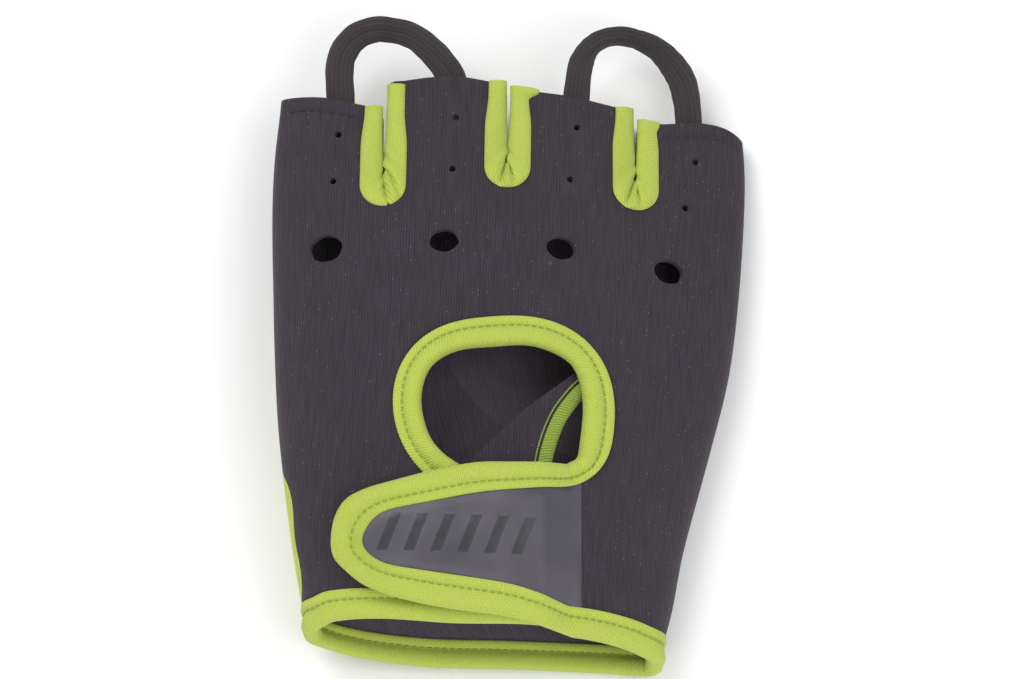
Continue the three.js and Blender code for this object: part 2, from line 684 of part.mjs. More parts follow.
function thumbRing(y, inset) {
  const read = (column) => fromTable(THUMB_SECTIONS, "along", column, y / GLOVE_LENGTH);
  const left = planX(read("outer")) + inset;
  const right = planX(read("inner")) - inset;
  const half = (THUMB_HEIGHT * read("height")) / 2;
  const squared = (share) => Math.sign(share) * Math.abs(share) ** THUMB_SQUARENESS;
  return turnsOf(20).map((turn) => {
    const x = (left + right) / 2 + ((right - left) / 2) * squared(Math.cos(turn));
    return new THREE.Vector3(x, y, half + (half - inset) * squared(Math.sin(turn)) - THUMB_PRESSED);
  });
}

// The thumb's wall, open at its tip and towards the hand.
function thumb() {
  const tip = [planPoint(THUMB_TIP.inner), planPoint(THUMB_TIP.outer)];
  const far = tip.map((p) => new THREE.Vector2(p.x, planY(1.2))).reverse();
  const beyond = prism([...tip, ...far]);
  const hole = prism(ellipse(THUMB_HOLE, THUMB_HOLE.rx, THUMB_HOLE.ry, 20), THUMB_LIFT / 2);
  return thumbTube(0).subtract(thumbTube(CLOTH)).subtract(beyond).subtract(hole).subtract(floor);
}

// Building the pieces

const pieces = [];
function piece(name, solid, finish) {
  const mesh = solid.getMesh();
  const geometry = new THREE.BufferGeometry();
  geometry.setAttribute("position", new THREE.BufferAttribute(new Float32Array(mesh.vertProperties), 3));
  geometry.setIndex(new THREE.BufferAttribute(mesh.triVerts, 1));
  const made = new THREE.Mesh(geometry, new THREE.MeshStandardMaterial(COLOURS[finish]));
  made.name = name;
  pieces.push(made);
}

const unite = (solids) => solids.reduce((sum, s) => sum.add(s));
const allSlots = unite(SLOTS.map((slot) => openSlot(slot, SLOT_GAP / 2 + TAPE_FOLD)));
const backHoles = unite([
  ...KNUCKLE_HOLES.map((row) => prism(ellipse(row, KNUCKLE_HOLE.rx, KNUCKLE_HOLE.ry, 14), HOLE_FLOOR)),
  ...VENTS.map((row) => prism(ellipse(row, VENT_RADIUS, VENT_RADIUS, 6), HOLE_FLOOR)),
]);

// Back of the hand
const back = shell
  .intersect(prism(between(backHem, fingerEdge)))
  .subtract(seamCut)
  .subtract(allSlots)
  .subtract(keyhole)
  .subtract(backHoles)
  .subtract(floor);
piece("back_panel", back, "cloth");

// Palm: the grip over the fingers and the bright heel below it
const palm = shell
  .intersect(palmSide)
  .intersect(prism(between(palmHem, fingerEdge)))
  .subtract(allSlots)
  .subtract(floor);
const gripEdge = planCurve(GRIP_EDGE);
const farEdge = [new THREE.Vector2(-FAR, planY(1.2)), new THREE.Vector2(FAR, planY(1.2))];
const beyondGrip = (dy) => prism([...moved(gripEdge, dy), ...farEdge]);
const thumbHole = prism(ellipse(THUMB_HOLE, THUMB_HOLE.rx, THUMB_HOLE.ry, 20));
piece("palm_grip", palm.intersect(beyondGrip(CLEARANCE / 2)), "grip");
piece("palm_heel", palm.subtract(beyondGrip(-CLEARANCE / 2)).subtract(thumbHole), "bright");

// Thumb: the dark back and the bright inner side
const wholeThumb = thumb();
const strip = planCurve(THUMB_STRIP, 2 * HEM_STEP);
const innerSide = (dx) => {
  const seam = strip.map((p) => new THREE.Vector2(p.x + dx, p.y));
  return prism([...seam, new THREE.Vector2(FAR, seam[seam.length - 1].y), new THREE.Vector2(FAR, seam[0].y)]);
};
const thumbVent = (row) => prism(ellipse(row, VENT_RADIUS, VENT_RADIUS, 6), -FAR, THUMB_HEIGHT / 2);
const thumbVents = unite(THUMB_VENTS.map(thumbVent));
piece("thumb_back", wholeThumb.subtract(innerSide(-CLEARANCE / 2)).subtract(thumbVents), "cloth");
piece("thumb_inner_side", wholeThumb.intersect(innerSide(CLEARANCE / 2)), "bright");

// Closure: strap, its tape, the flap under it and the tapes of the window and the wrist
const strapFolds = [planX(STRAP_END.rampFrom), planX(STRAP_END.rampTo)];
piece("closure_strap", layer(strapOutline, strapMiddle, STRAP_STEP, strapFolds), "rubber");
const beyondEdge = -TAPE_FOLD / (TAPE_WIDTH - TAPE_FOLD);
const strapFold = strapEdge.map((p, i) => p.clone().lerp(strapStitches[i], beyondEdge));
piece("strap_binding", carry(strapFold, strapStitches, foldedTape, on(strapMiddle)), "bright");
piece("under_flap", layer(flapOutline, flapMiddle, STRAP_STEP), "cloth");
const alongEdge = (path, place) =>
  carry(beside(path, -TAPE_FOLD), beside(path, TAPE_WIDTH - TAPE_FOLD), foldedTape, place);
piece("flap_binding", alongEdge(flapEdge, on(flapMiddle)), "bright");
piece("window_binding", alongEdge(windowEdge, onBack), "bright");
piece("wrist_binding", wristTape().subtract(floor), "bright");

// Finger slots
for (const slot of SLOTS) piece(`slot_binding_${slot.name}`, slotBinding(slot).subtract(floor), "bright");

// Pull loops
function pullLoop(loop) {
  const edgeAt = (x) => planY(fromTable(FINGER_EDGE, "across", "along", x / PALM_WIDTH));
  const base = edgeAt(planX((loop.roots[0] + loop.roots[1]) / 2));
  const leg = (across) => steps(-LOOP_ROOT / LOOP_REACH, 0, 2).map((reach) => ({ across, reach, turn: 0 }));
  const rows = [...leg(loop.roots[0]), ...loop.points, ...leg(loop.roots[1]).reverse()];
  const marks = rows.map((row) => {
    const x = planX(row.across);
    const start = row.reach > 0 ? Math.max(base, edgeAt(x) - LOOP_TUCK) : edgeAt(x);
    return new THREE.Vector3(x, start + row.reach * LOOP_REACH, row.turn);
  });
  const curve = new THREE.CatmullRomCurve3(marks, false, "centripetal");
  const places = curve.getPoints(24);
  const drop = CLOTH + LOOP_GAP + LOOP_THICKNESS / 2;
  const height = (x, y) => heightAt(x, Math.min(y, edgeAt(x))) - drop;
  const rolled = (laid, i) => ({ ...laid, roll: THREE.MathUtils.degToRad(places[i].z) });
  return sweep(layOn(places, height).map(rolled));
}
for (const loop of LOOPS) piece(`pull_loop_${loop.name}`, pullLoop(loop), "cloth");

const glove = new THREE.Group();
glove.add(...pieces);

// The origin lies on the floor under the middle of the glove.
const bounds = new THREE.Box3().setFromObject(glove);
const middle = bounds.getCenter(new THREE.Vector3());
glove.position.set(-middle.x, -middle.y, -bounds.min.z);

export default glove;
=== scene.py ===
"""Dresses a fingerless weightlifting glove, lying on its palm with the thumb folded under it.

Lengths are in millimetres in the glove's own frame: +X runs to the little finger, +Y to the fingertips and +Z up
through the back of the hand, with y = 0 at the wrist hem. make_piece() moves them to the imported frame, in metres.
"""

from __future__ import annotations

import logging
import math
from dataclasses import dataclass, field
from enum import Enum
from typing import Any, Callable

import bpy
import numpy as np
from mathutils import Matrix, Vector
from mathutils.geometry import delaunay_2d_cdt


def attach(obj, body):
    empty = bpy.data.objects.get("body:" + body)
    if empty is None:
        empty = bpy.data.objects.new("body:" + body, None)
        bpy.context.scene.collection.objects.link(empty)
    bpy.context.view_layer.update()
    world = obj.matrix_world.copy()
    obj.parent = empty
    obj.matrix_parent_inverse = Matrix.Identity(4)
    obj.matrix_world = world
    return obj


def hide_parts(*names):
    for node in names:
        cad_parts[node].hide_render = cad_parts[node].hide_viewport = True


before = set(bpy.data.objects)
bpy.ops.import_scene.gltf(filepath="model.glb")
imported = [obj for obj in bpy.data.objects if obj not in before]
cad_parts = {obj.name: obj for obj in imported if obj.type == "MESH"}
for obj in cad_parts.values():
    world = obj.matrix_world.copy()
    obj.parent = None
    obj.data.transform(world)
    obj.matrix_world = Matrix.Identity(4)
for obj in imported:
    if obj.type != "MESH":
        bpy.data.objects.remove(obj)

LOG = logging.getLogger("glove")
Array = np.ndarray
Place = Callable[[Array, Array], tuple[Array, Array]]
Seam = Callable[[Array], Array]
Socket = bpy.types.NodeSocket

PALM_WIDTH = 106.6
GLOVE_LENGTH = 133.0
ORIGIN = (0.007, 73.952)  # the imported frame's origin, in the glove's frame
CLOTH = 1.8  # thickness of the knitted neoprene
SCALE = np.array([50.0, 1.0])  # millimetres of cut pattern for one radian round the glove and 1 mm along it
SHARP = 58.0  # degrees between two faces from which their edge is shaded as a sharp one


class Side(Enum):
    """The two faces of the glove, as the sign of their height."""

    BACK = 1
    PALM = -1


# Reading tables


@dataclass(frozen=True)
class Table:
    """Rows of numbers with named columns; the first column is the key that the rows are sorted by."""

    columns: tuple[str, ...]
    rows: tuple[tuple[float, ...], ...]

    def column(self, name: str) -> Array:
        """One column as an array."""
        return np.array([row[self.columns.index(name)] for row in self.rows])

    def read(self, name: str, at: Array) -> Array:
        """Reads a column on a smooth curve through the rows.

        Args:
            name: The column.
            at: Values of the key column.

        Returns:
            One value for each key.
        """
        keys = self.column(self.columns[0])
        values = self.column(name)
        last = len(keys) - 1
        before = np.maximum(np.arange(len(keys)) - 1, 0)
        after = np.minimum(np.arange(len(keys)) + 1, last)
        slopes = (values[after] - values[before]) / (keys[after] - keys[before])
        at = np.clip(at, keys[0], keys[-1])
        i = np.clip(np.searchsorted(keys, at, side="right") - 1, 0, last - 1)
        span = keys[i + 1] - keys[i]
        t = (at - keys[i]) / span
        blend = t * t * (3 - 2 * t)
        bend = slopes[i] * (t - 2 * t**2 + t**3) + slopes[i + 1] * (t**3 - t**2)
        return values[i] * (1 - blend) + values[i + 1] * blend + span * bend

    def y_at(self, x: Array) -> Array:
        """How far from the wrist a plan line runs, over places across, in millimetres."""
        return self.read("along", x / PALM_WIDTH) * GLOVE_LENGTH

    def plan(self, across: str = "across", along: str = "along") -> Array:
        """The rows as plan points in millimetres."""
        return np.stack([self.column(across) * PALM_WIDTH, self.column(along) * GLOVE_LENGTH], -1)


def plan_table(*rows: tuple[float, float]) -> Table:
    """A table of shares of the palm width and of the glove's length."""
    return Table(("across", "along"), rows)


SECTIONS = Table(
    ("along", "thumb_side", "little_side", "depth", "lift"),
    (
        (-0.05, -0.8, 0.613, 0.92, 0.1),
        (0.0, -0.812, 0.621, 0.95, 0.15),
        (0.1, -0.868, 0.684, 1.0, 0.5),
        (0.2, -0.912, 0.732, 1.0, 0.95),
        (0.38, -0.966, 0.851, 1.0, 1.0),
        (0.5, -0.984, 0.925, 1.0, 1.0),
        (0.62, -0.993, 0.966, 0.97, 1.0),
        (0.76, -1.0, 0.993, 0.87, 1.0),
        (0.86, -0.992, 1.0, 0.76, 1.0),
        (0.95, -0.97, 0.985, 0.66, 0.95),
        (1.05, -0.95, 0.96, 0.6, 0.85),
    ),
)
FINGER_EDGE = plan_table(
    (-0.56, 0.96), (-0.484, 0.969), (-0.4, 0.966), (-0.31, 0.95), (-0.273, 0.947), (-0.257, 0.985),
    (-0.22, 0.992), (-0.12, 0.998), (-0.04, 0.99), (0.05, 0.974), (0.14, 0.966), (0.225, 0.957), (0.261, 0.955),
    (0.274, 0.938), (0.32, 0.934), (0.41, 0.941), (0.475, 0.929), (0.56, 0.87),
)
PALM_HEM = plan_table(
    (-0.56, 0.05), (-0.407, 0.0465), (-0.35, 0.038), (-0.274, 0.029), (-0.16, 0.021), (0.0, 0.018), (0.2, 0.011),
    (0.312, 0.001), (0.56, -0.002),
)
BACK_HEM = plan_table(
    (-0.56, 0.054), (-0.407, 0.062), (-0.373, 0.07), (-0.274, 0.071), (-0.12, 0.062), (0.09, 0.058),
    (0.127, 0.044), (0.16, 0.041), (0.2, 0.037), (0.247, 0.03), (0.312, 0.017), (0.56, -0.002),
)
WINDOW = plan_table(
    (0.131, 0.314), (0.146, 0.32), (0.157, 0.33), (0.163, 0.352), (0.171, 0.422), (0.16, 0.474),
    (0.129, 0.507), (0.056, 0.528), (-0.03, 0.526), (-0.117, 0.517), (-0.175, 0.485), (-0.196, 0.428),
    (-0.181, 0.366), (-0.148, 0.328), (-0.1, 0.3),
)
STRAP = Table(
    ("across", "along", "stitched_across", "stitched_along"),
    (
        (0.124, 0.311, 0.124, 0.277),
        (0.075, 0.306, 0.075, 0.27),
        (0.005, 0.303, 0.005, 0.264),
        (-0.066, 0.301, -0.062, 0.259),
        (-0.145, 0.29, -0.135, 0.248),
        (-0.225, 0.275, -0.21, 0.237),
        (-0.293, 0.261, -0.268, 0.228),
        (-0.333, 0.243, -0.292, 0.209),
        (-0.354, 0.215, -0.303, 0.192),
        (-0.361, 0.182, -0.309, 0.179),
        (-0.355, 0.158, -0.302, 0.165),
        (-0.333, 0.139, -0.287, 0.157),
        (-0.295, 0.116, -0.264, 0.144),
        (-0.232, 0.098, -0.21, 0.136),
        (-0.13, 0.081, -0.11, 0.124),
        (0.0, 0.067, 0.008, 0.11),
        (0.075, 0.052, 0.075, 0.094),
        (0.124, 0.044, 0.124, 0.083),
    ),
)
FLAP = plan_table((-0.1, 0.1), (-0.1, 0.29), (-0.068, 0.335), (0.03, 0.415), (0.15, 0.492), (0.178, 0.48))
FLAP_EDGE = plan_table((0.178, 0.466), (0.141, 0.435), (0.106, 0.39), (0.081, 0.32), (0.067, 0.2), (0.06, 0.1))
GRIP_EDGE = plan_table(
    (-0.56, 0.657), (-0.357, 0.657), (-0.26, 0.64), (-0.17, 0.57), (-0.1, 0.48), (-0.04, 0.426), (0.04, 0.391),
    (0.238, 0.329), (0.421, 0.263), (0.56, 0.235),
)
CROSS_SEAM = plan_table(
    (-0.478, 0.771), (-0.381, 0.794), (-0.288, 0.795), (-0.018, 0.777), (0.217, 0.763), (0.359, 0.746),
    (0.461, 0.729),
)
KNUCKLE_HOLES = plan_table((-0.386, 0.693), (-0.137, 0.702), (0.11, 0.693), (0.338, 0.67))
VENTS = plan_table(
    (-0.361, 0.897), (-0.371, 0.812), (-0.112, 0.924), (-0.12, 0.831), (0.143, 0.912), (0.129, 0.817),
    (0.395, 0.87), (0.373, 0.786),
)
# Where the seam of the back and the palm runs at the thumb side, in radians past the widest line: above it, under
# 0, at the heel, so that the bright cloth shows from above.
THUMB_SIDE_SEAM = Table(
    ("along", "angle"),
    ((-0.05, 0.4), (0.06, 0.35), (0.12, -0.16), (0.2, -0.21), (0.29, -0.19), (0.36, 0.3), (0.44, 0.42), (1.05, 0.42)),
)


def smooth(t: Array) -> Array:
    """An even step from 0 to 1."""
    s = np.clip(t, 0, 1)
    return s * s * (3 - 2 * s)


def dent(off: Array, size: tuple[float, float]) -> Array:
    """How deep a surface dips at distances from a line: size gives the depth and the reach."""
    return size[0] * np.exp(-((off / size[1]) ** 2))


def unit(vectors: Array) -> Array:
    """The same directions, one long."""
    return vectors / np.maximum(np.linalg.norm(vectors, axis=-1, keepdims=True), 1e-9)


def pairs(first: Array, second: Array) -> Array:
    """All pairs of two lists, as rows by columns."""
    return np.stack(np.broadcast_arrays(first[:, None], second[None, :]), -1)


def lengths(points: Array) -> Array:
    """The distance of each point of a line from the line's start."""
    return np.concatenate([[0.0], np.cumsum(np.linalg.norm(np.diff(points, axis=0), axis=1))])


def along_line(values: Array, far: Array, at: Array) -> Array:
    """Values known at distances along a line, read at other distances."""
    return np.stack([np.interp(at, far, column) for column in values.T], -1)


def spaced(points: Array, step: float) -> Array:
    """The same line in points about one step apart.

    Args:
        points: A line of points.
        step: The distance between two points.

    Returns:
        The new points.
    """
    far = lengths(points)
    return along_line(points, far, np.linspace(0, far[-1], max(int(round(far[-1] / step)), 2) + 1))


def curve(points: Array, parts: int = 12) -> Array:
    """A smooth line through points.

    Args:
        points: The points it runs through.
        parts: How many steps there are between two of them.

    Returns:
        The points of the line.
    """
    line = np.vstack([2 * points[0] - points[1], points, 2 * points[-1] - points[-2]])
    t = np.linspace(0, 1, parts, endpoint=False)[:, None]
    made = []
    for a, b, c, d in zip(line, line[1:], line[2:], line[3:]):
        bend = (2 * a - 5 * b + 4 * c - d) * t**2 + (3 * b - a - 3 * c + d) * t**3
        made.append(0.5 * (2 * b + (c - a) * t + bend))
    return np.vstack([*made, points[-1:]])


def beside(path: Array, distance: float) -> Array:
    """A plan line moved sideways by a distance, to its right."""
    run = unit(np.gradient(path, axis=0))
    return path + distance * np.stack([run[:, 1], -run[:, 0]], -1)


def oval(middle: Array, rx: float, ry: float, count: int) -> Array:
    """A closed oval of plan points."""
    turn = np.linspace(0, 2 * np.pi, count, endpoint=False)
    return middle + np.stack([rx * np.cos(turn), ry * np.sin(turn)], -1)


def inside(points: Array, loop: Array) -> Array:
    """Whether each point lies inside a closed loop.

    Args:
        points: Plan points.
        loop: The corners of the loop.

    Returns:
        One truth value for each point.
    """
    x, y = points[:, 0], points[:, 1]
    found = np.zeros(len(points), bool)
    for (x0, y0), (x1, y1) in zip(loop, np.roll(loop, -1, axis=0)):
        if y0 != y1:
            crosses = (y0 > y) != (y1 > y)
            found ^= crosses & (x < (x1 - x0) * (y - y0) / (y1 - y0) + x0)
    return found


def distance(points: Array, line: Array) -> Array:
    """The distance of each plan point from a line.

    Args:
        points: Plan points.
        line: The points of the line.

    Returns:
        One distance for each point.
    """
    best = np.full(len(points), np.inf)
    for a, b in zip(line, line[1:]):
        run = b - a
        t = np.clip((points - a) @ run / max(run @ run, 1e-9), 0, 1)
        best = np.minimum(best, np.linalg.norm(points - a - t[:, None] * run, axis=1))
    return best


# The glove's form


@dataclass(frozen=True)
class Slot:
    """A slot between two fingers."""

    name: str
    across: float
    along: float
    lean: float
    tops: tuple[float, float]  # where the two sides of its tape end, as shares of the length
    flare: float  # how far its tape spreads at the end of its little-finger side, in millimetres


SLOTS = (
    Slot("index_middle", -0.266, 0.803, 0.004, (0.946, 0.986), 0.0),
    Slot("middle_ring", -0.004, 0.835, 0.003, (0.991, 0.983), 2.4),
    Slot("ring_little", 0.267, 0.812, 0.0, (0.957, 0.938), 0.9),
)


@dataclass(frozen=True)
class Section:
    """The glove's sizes at places along it."""

    middle: Array
    half: Array
    top: Array
    bottom: Array
    lift: Array
    drop: Array
    along: Array


@dataclass(frozen=True)
class Form:
    """The glove as one flattened tube, which the folded thumb props up on its own side.

    A place on it is an angle round the tube, from 0 at the little finger's side over the back to pi at the thumb's
    side and on round the palm, and a distance y from the wrist.
    """

    depth: float = 22.0
    above: float = 0.58  # share of the depth that lies over the widest line
    below: float = 0.42
    roundness: float = 2.5
    thumb_lift: float = 10.0  # how far the thumb props up its side
    little_drop: float = 3.2
    fade_from: float = -0.06  # places across, as shares of half the width, between which the widest line falls
    fade_to: float = 0.9
    bulge: float = 1.3  # swell of each finger
    bulge_start: float = 0.72  # where it begins, as a share of the length
    seam_inset: float = 4.6

    def section(self, y: Array) -> Section:
        """The sizes at places along the glove."""
        along = np.asarray(y, float) / GLOVE_LENGTH
        left, right = [SECTIONS.read(name, along) * PALM_WIDTH / 2 for name in ("thumb_side", "little_side")]
        share = SECTIONS.read("depth", along)
        lift = SECTIONS.read("lift", along) * self.thumb_lift
        top, bottom = self.above * (share * self.depth), self.below * (share * self.depth)
        return Section((left + right) / 2, (right - left) / 2, top, bottom, lift, share * self.little_drop, along)

    def seam_height(self, part: Section, x: Array) -> Array:
        """Height of the widest line, which falls from the thumb's side to the little finger's."""
        fade = smooth((2 * x / PALM_WIDTH - self.fade_from) / (self.fade_to - self.fade_from))
        return part.bottom + part.lift * (1 - fade) - part.drop * fade

    def swell(self, part: Section, x: Array) -> Array:
        """The swell over each finger, which dips at the slots."""
        slots = [slot.across * PALM_WIDTH for slot in SLOTS]
        inner = [np.full_like(part.middle, value) for value in slots]
        edges = np.stack([part.middle - part.half, *inner, part.middle + part.half])
        i = 1 + sum((x > value).astype(int) for value in slots)
        low = np.take_along_axis(edges, (i - 1)[None], 0)[0]
        high = np.take_along_axis(edges, i[None], 0)[0]
        t = np.clip((x - low) / (high - low), 0, 1)
        fade = smooth((part.along - self.bulge_start) / (1 - self.bulge_start))
        return self.bulge * (np.sin(np.pi * t) ** 2 - 0.5) * fade

    def point(self, angle: Array, y: Array) -> Array:
        """Points on the outside of the glove.

        Args:
            angle: Angles round the glove.
            y: Distances from the wrist.

        Returns:
            One point for each pair.
        """
        angle, y = np.broadcast_arrays(np.asarray(angle, float), np.asarray(y, float))
        part = self.section(y)
        across = np.cos(angle)
        rise = np.maximum(1 - np.abs(across) ** self.roundness, 0) ** (1 / self.roundness)
        x = part.middle + part.half * across
        up = np.sin(angle) >= 0
        reach = np.where(up, part.top, part.bottom) + self.swell(part, x)
        z = self.seam_height(part, x) + np.where(up, 1, -1) * reach * rise
        return np.stack([x, y, np.maximum(z, 0.0)], -1)

    def normal(self, angle: Array, y: Array) -> Array:
        """Outward directions at places on the glove."""
        round_it = self.point(angle + 0.012, y) - self.point(angle - 0.012, y)
        along_it = self.point(angle, y + 0.5) - self.point(angle, y - 0.5)
        return unit(np.cross(along_it, round_it))

    def angle(self, x: Array, y: Array, side: Side = Side.BACK) -> Array:
        """The angle of plan points on one face."""
        part = self.section(y)
        turn = np.arccos(np.clip((x - part.middle) / part.half, -0.999, 0.999))
        return turn if side is Side.BACK else 2 * np.pi - turn

    def in_cloth(self, angle: Array, y: Array) -> tuple[Array, Array]:
        """Points in the middle of the cloth and their outward directions, at places round the glove."""
        out = self.normal(angle, y)
        return self.point(angle, y) - out * CLOTH / 2, out

    def face(self, side: Side) -> Place:
        """The middle of one face's cloth, as a surface over plan points."""
        return lambda x, y: self.in_cloth(self.angle(x, y, side), y)

    def places(self, line: Array, side: Side = Side.BACK) -> Array:
        """A plan line on one face as rows of angle and y."""
        return np.stack([self.angle(*line.T, side), line[:, 1]], -1)

    def height(self, x: Array, y: Array, side: Side = Side.BACK) -> Array:
        """Outside height of one face over plan points."""
        return self.point(self.angle(x, y, side), y)[..., 2]

    def thumb_seam(self, y: Array) -> Array:
        """Angle of the seam at the thumb's side."""
        return np.pi + THUMB_SIDE_SEAM.read("angle", y / GLOVE_LENGTH)

    def little_seam(self, y: Array) -> Array:
        """Angle of the seam at the little finger's side, under 0 because it lies on the palm."""
        return -np.arccos(1 - self.seam_inset / self.section(y).half)

    def unrolled(self, angle: Array, y: Array) -> Array:
        """Distance round the glove from the middle of its back, which the ribs of the cloth are spaced by.

        Args:
            angle: Angles round the glove.
            y: Distances from the wrist.

        Returns:
            Millimetres of cloth.
        """
        turns = np.linspace(-1, 2 * np.pi + 1, 300)
        rows = np.linspace(-0.06, 1.06, 24) * GLOVE_LENGTH
        grid = self.point(turns[None, :], rows[:, None])
        steps = np.linalg.norm(np.diff(grid, axis=1), axis=2)
        far = np.concatenate([np.zeros((len(rows), 1)), np.cumsum(steps, axis=1)], axis=1)
        far -= np.array([np.interp(np.pi / 2, turns, row) for row in far])[:, None]
        u = np.clip((angle - turns[0]) / (turns[1] - turns[0]), 0, len(turns) - 1.001)
        v = np.clip((y - rows[0]) / (rows[1] - rows[0]), 0, len(rows) - 1.001)
        i, j = v.astype(int), u.astype(int)
        a, b = u - j, v - i
        low = far[i, j] * (1 - a) + far[i, j + 1] * a
        high = far[i + 1, j] * (1 - a) + far[i + 1, j + 1] * a
        return low * (1 - b) + high * b

    def edge(self, table: Table, low: Seam, high: Seam, count: int) -> Array:
        """A hem of a cut piece, from one seam to the other.

        Args:
            table: The hem in plan.
            low: Angle of the first seam along the glove.
            high: Angle of the second seam along the glove.
            count: The number of points.

        Returns:
            Rows of angle and y.
        """
        share = np.linspace(0, 1, count)
        y = np.full(count, float(np.mean(table.column("along"))) * GLOVE_LENGTH)
        for _ in range(8):
            angle = low(y) * (1 - share) + high(y) * share
            y = table.y_at(self.point(angle, y)[:, 0])
        return np.stack([angle, y], -1)

    def outline(self, edges: tuple[Table, Table], seams: tuple[Seam, Seam], counts: tuple[int, int]) -> Array:
        """The outline of a cut piece that runs between two seams.

        Args:
            edges: Its edges towards the wrist and towards the fingers, in plan.
            seams: Angles of its two seams along the glove, in rising order.
            counts: How many points an edge has, and how many a seam has.

        Returns:
            Rows of angle and y.
        """
        first, second = seams
        low, high = [self.edge(table, first, second, counts[0]) for table in edges]
        up = np.linspace(low[-1, 1], high[-1, 1], counts[1])[1:-1]
        down = np.linspace(high[0, 1], low[0, 1], counts[1])[1:-1]
        return np.vstack([low, np.stack([second(up), up], -1), high[::-1], np.stack([first(down), down], -1)])


FORM = Form()


def frame_over(height: Callable[[Array, Array], Array], x: Array, y: Array) -> tuple[Array, Array]:
    """Points and upward directions of a surface that is given by its height.

    Args:
        height: The surface.
        x: Plan places across.
        y: Plan places along.

    Returns:
        The points and the directions.
    """
    d = 0.5
    slope_x = (height(x - d, y) - height(x + d, y)) / (2 * d)
    slope_y = (height(x, y - d) - height(x, y + d)) / (2 * d)
    out = np.stack([slope_x, slope_y, np.ones_like(slope_x)], -1)
    return np.stack([x, y, height(x, y)], -1), unit(out)


# Making meshes


@dataclass
class Shape:
    """A mesh in the making: points, groups of faces with the number of their finish, and the weave's places."""

    points: Array
    faces: list[tuple[Array, int]]
    weave: Array


def joined(shapes: list[Shape]) -> Shape:
    """Several shapes as one."""
    starts = np.cumsum([0] + [len(shape.points) for shape in shapes])
    faces = [(group + start, look) for shape, start in zip(shapes, starts) for group, look in shape.faces]
    return Shape(np.vstack([s.points for s in shapes]), faces, np.vstack([s.weave for s in shapes]))


@dataclass(frozen=True)
class Pattern:
    """A cut piece, flat: its points and its triangles."""

    points: Array
    faces: Array

    @staticmethod
    def cut(outline: Array, holes: list[Array], step: float, marks: list[Array] | None = None) -> "Pattern":
        """Cuts a piece along its outline and round its holes, in even triangles.

        Args:
            outline: The closed outline.
            holes: Closed loops that are cut out.
            step: The size of a triangle.
            marks: Closed loops that the triangles follow, but that cut nothing.

        Returns:
            The cut piece.
        """
        loops = [np.asarray(outline), *holes, *(marks or [])]
        rim = np.vstack(loops)
        low, high = outline.min(axis=0), outline.max(axis=0)
        xs = np.arange(low[0], high[0], step)
        ys = np.arange(low[1], high[1], step * 0.866)  # rows of even triangles
        grid = np.array([(x + (k % 2) * step / 2, y) for k, y in enumerate(ys) for x in xs])
        grid = grid[inside(grid, outline)]
        near = np.zeros(len(grid), bool)
        for point in rim:
            near |= np.abs(grid - point).max(axis=1) < 0.55 * step
        grid = grid[~near]
        edges = []
        start = 0
        for loop in loops:
            edges += [(start + i, start + (i + 1) % len(loop)) for i in range(len(loop))]
            start += len(loop)
        corners = [Vector(p) for p in np.vstack([rim, grid]).tolist()]
        points, _, faces, *_ = delaunay_2d_cdt(corners, edges, [], 0, 1e-4, False)
        flat = np.array([tuple(p) for p in points])
        triangles = np.array(faces)
        centres = flat[triangles].mean(axis=1)
        keep = inside(centres, outline)
        for hole in holes:
            keep &= ~inside(centres, hole)
        triangles = triangles[keep]
        used, renamed = np.unique(triangles, return_inverse=True)
        return Pattern(flat[used], renamed.reshape(triangles.shape))

    def cloth(self, outer: Array, inner: Array, weave: Array, outer_looks: Array | None = None) -> Shape:
        """Makes cloth with two faces and closed edges.

        Args:
            outer: Places of the points on the outside.
            inner: Places of the points on the inside.
            weave: Places in the weave, in millimetres.
            outer_looks: The number of each outer triangle's finish, when they differ.

        Returns:
            The cloth; finish 1 is its inside.
        """
        a, b, c = outer[self.faces].transpose(1, 0, 2)
        thick = (outer - inner)[self.faces].mean(axis=1)
        turned = np.sum(np.cross(b - a, c - a) * thick) < 0
        faces = self.faces[:, ::-1] if turned else self.faces
        sides = np.vstack([faces[:, [0, 1]], faces[:, [1, 2]], faces[:, [2, 0]]])
        _, first, count = np.unique(np.sort(sides, axis=1), axis=0, return_index=True, return_counts=True)
        rim = sides[first[count == 1]]
        size = len(outer)
        walls = np.stack([rim[:, 1], rim[:, 0], rim[:, 0] + size, rim[:, 1] + size], -1)
        groups = [(walls, 0), (faces[:, ::-1] + size, 1)]
        if outer_looks is None:
            groups.append((faces, 0))
        else:
            groups += [(faces[outer_looks == look], int(look)) for look in np.unique(outer_looks)]
        return Shape(np.vstack([outer, inner]), groups, np.vstack([weave, weave]))


def swept(rings: Array, weave: Array) -> Shape:
    """A skin through closed rings of points, filled at both ends.

    Args:
        rings: The rings, as an array of rings, points and coordinates.
        weave: The weave's places, for each point of each ring.

    Returns:
        The skin.
    """
    count, size = rings.shape[:2]
    at = np.arange(count * size).reshape(count, size)
    after = np.roll(at, -1, axis=1)
    quads = np.stack([at[:-1], after[:-1], after[1:], at[1:]], -1).reshape(-1, 4)
    groups = [(quads, 0), (at[:1, ::-1], 0), (at[-1:], 0)]
    middle = rings.mean(axis=1)
    spokes = rings - middle[:, None]
    area = np.cross(spokes, np.roll(spokes, -1, axis=1)).sum(axis=1)
    if np.sum(area[:-1] * np.diff(middle, axis=0)) < 0:
        groups = [(faces[:, ::-1], look) for faces, look in groups]
    return Shape(rings.reshape(-1, 3), groups, weave.reshape(-1, 2))


@dataclass(frozen=True)
class Stitch:
    """The sizes of a row of stitches: from one to the next, the length of one, and the thread's thickness."""

    pitch: float
    length: float
    girth: float


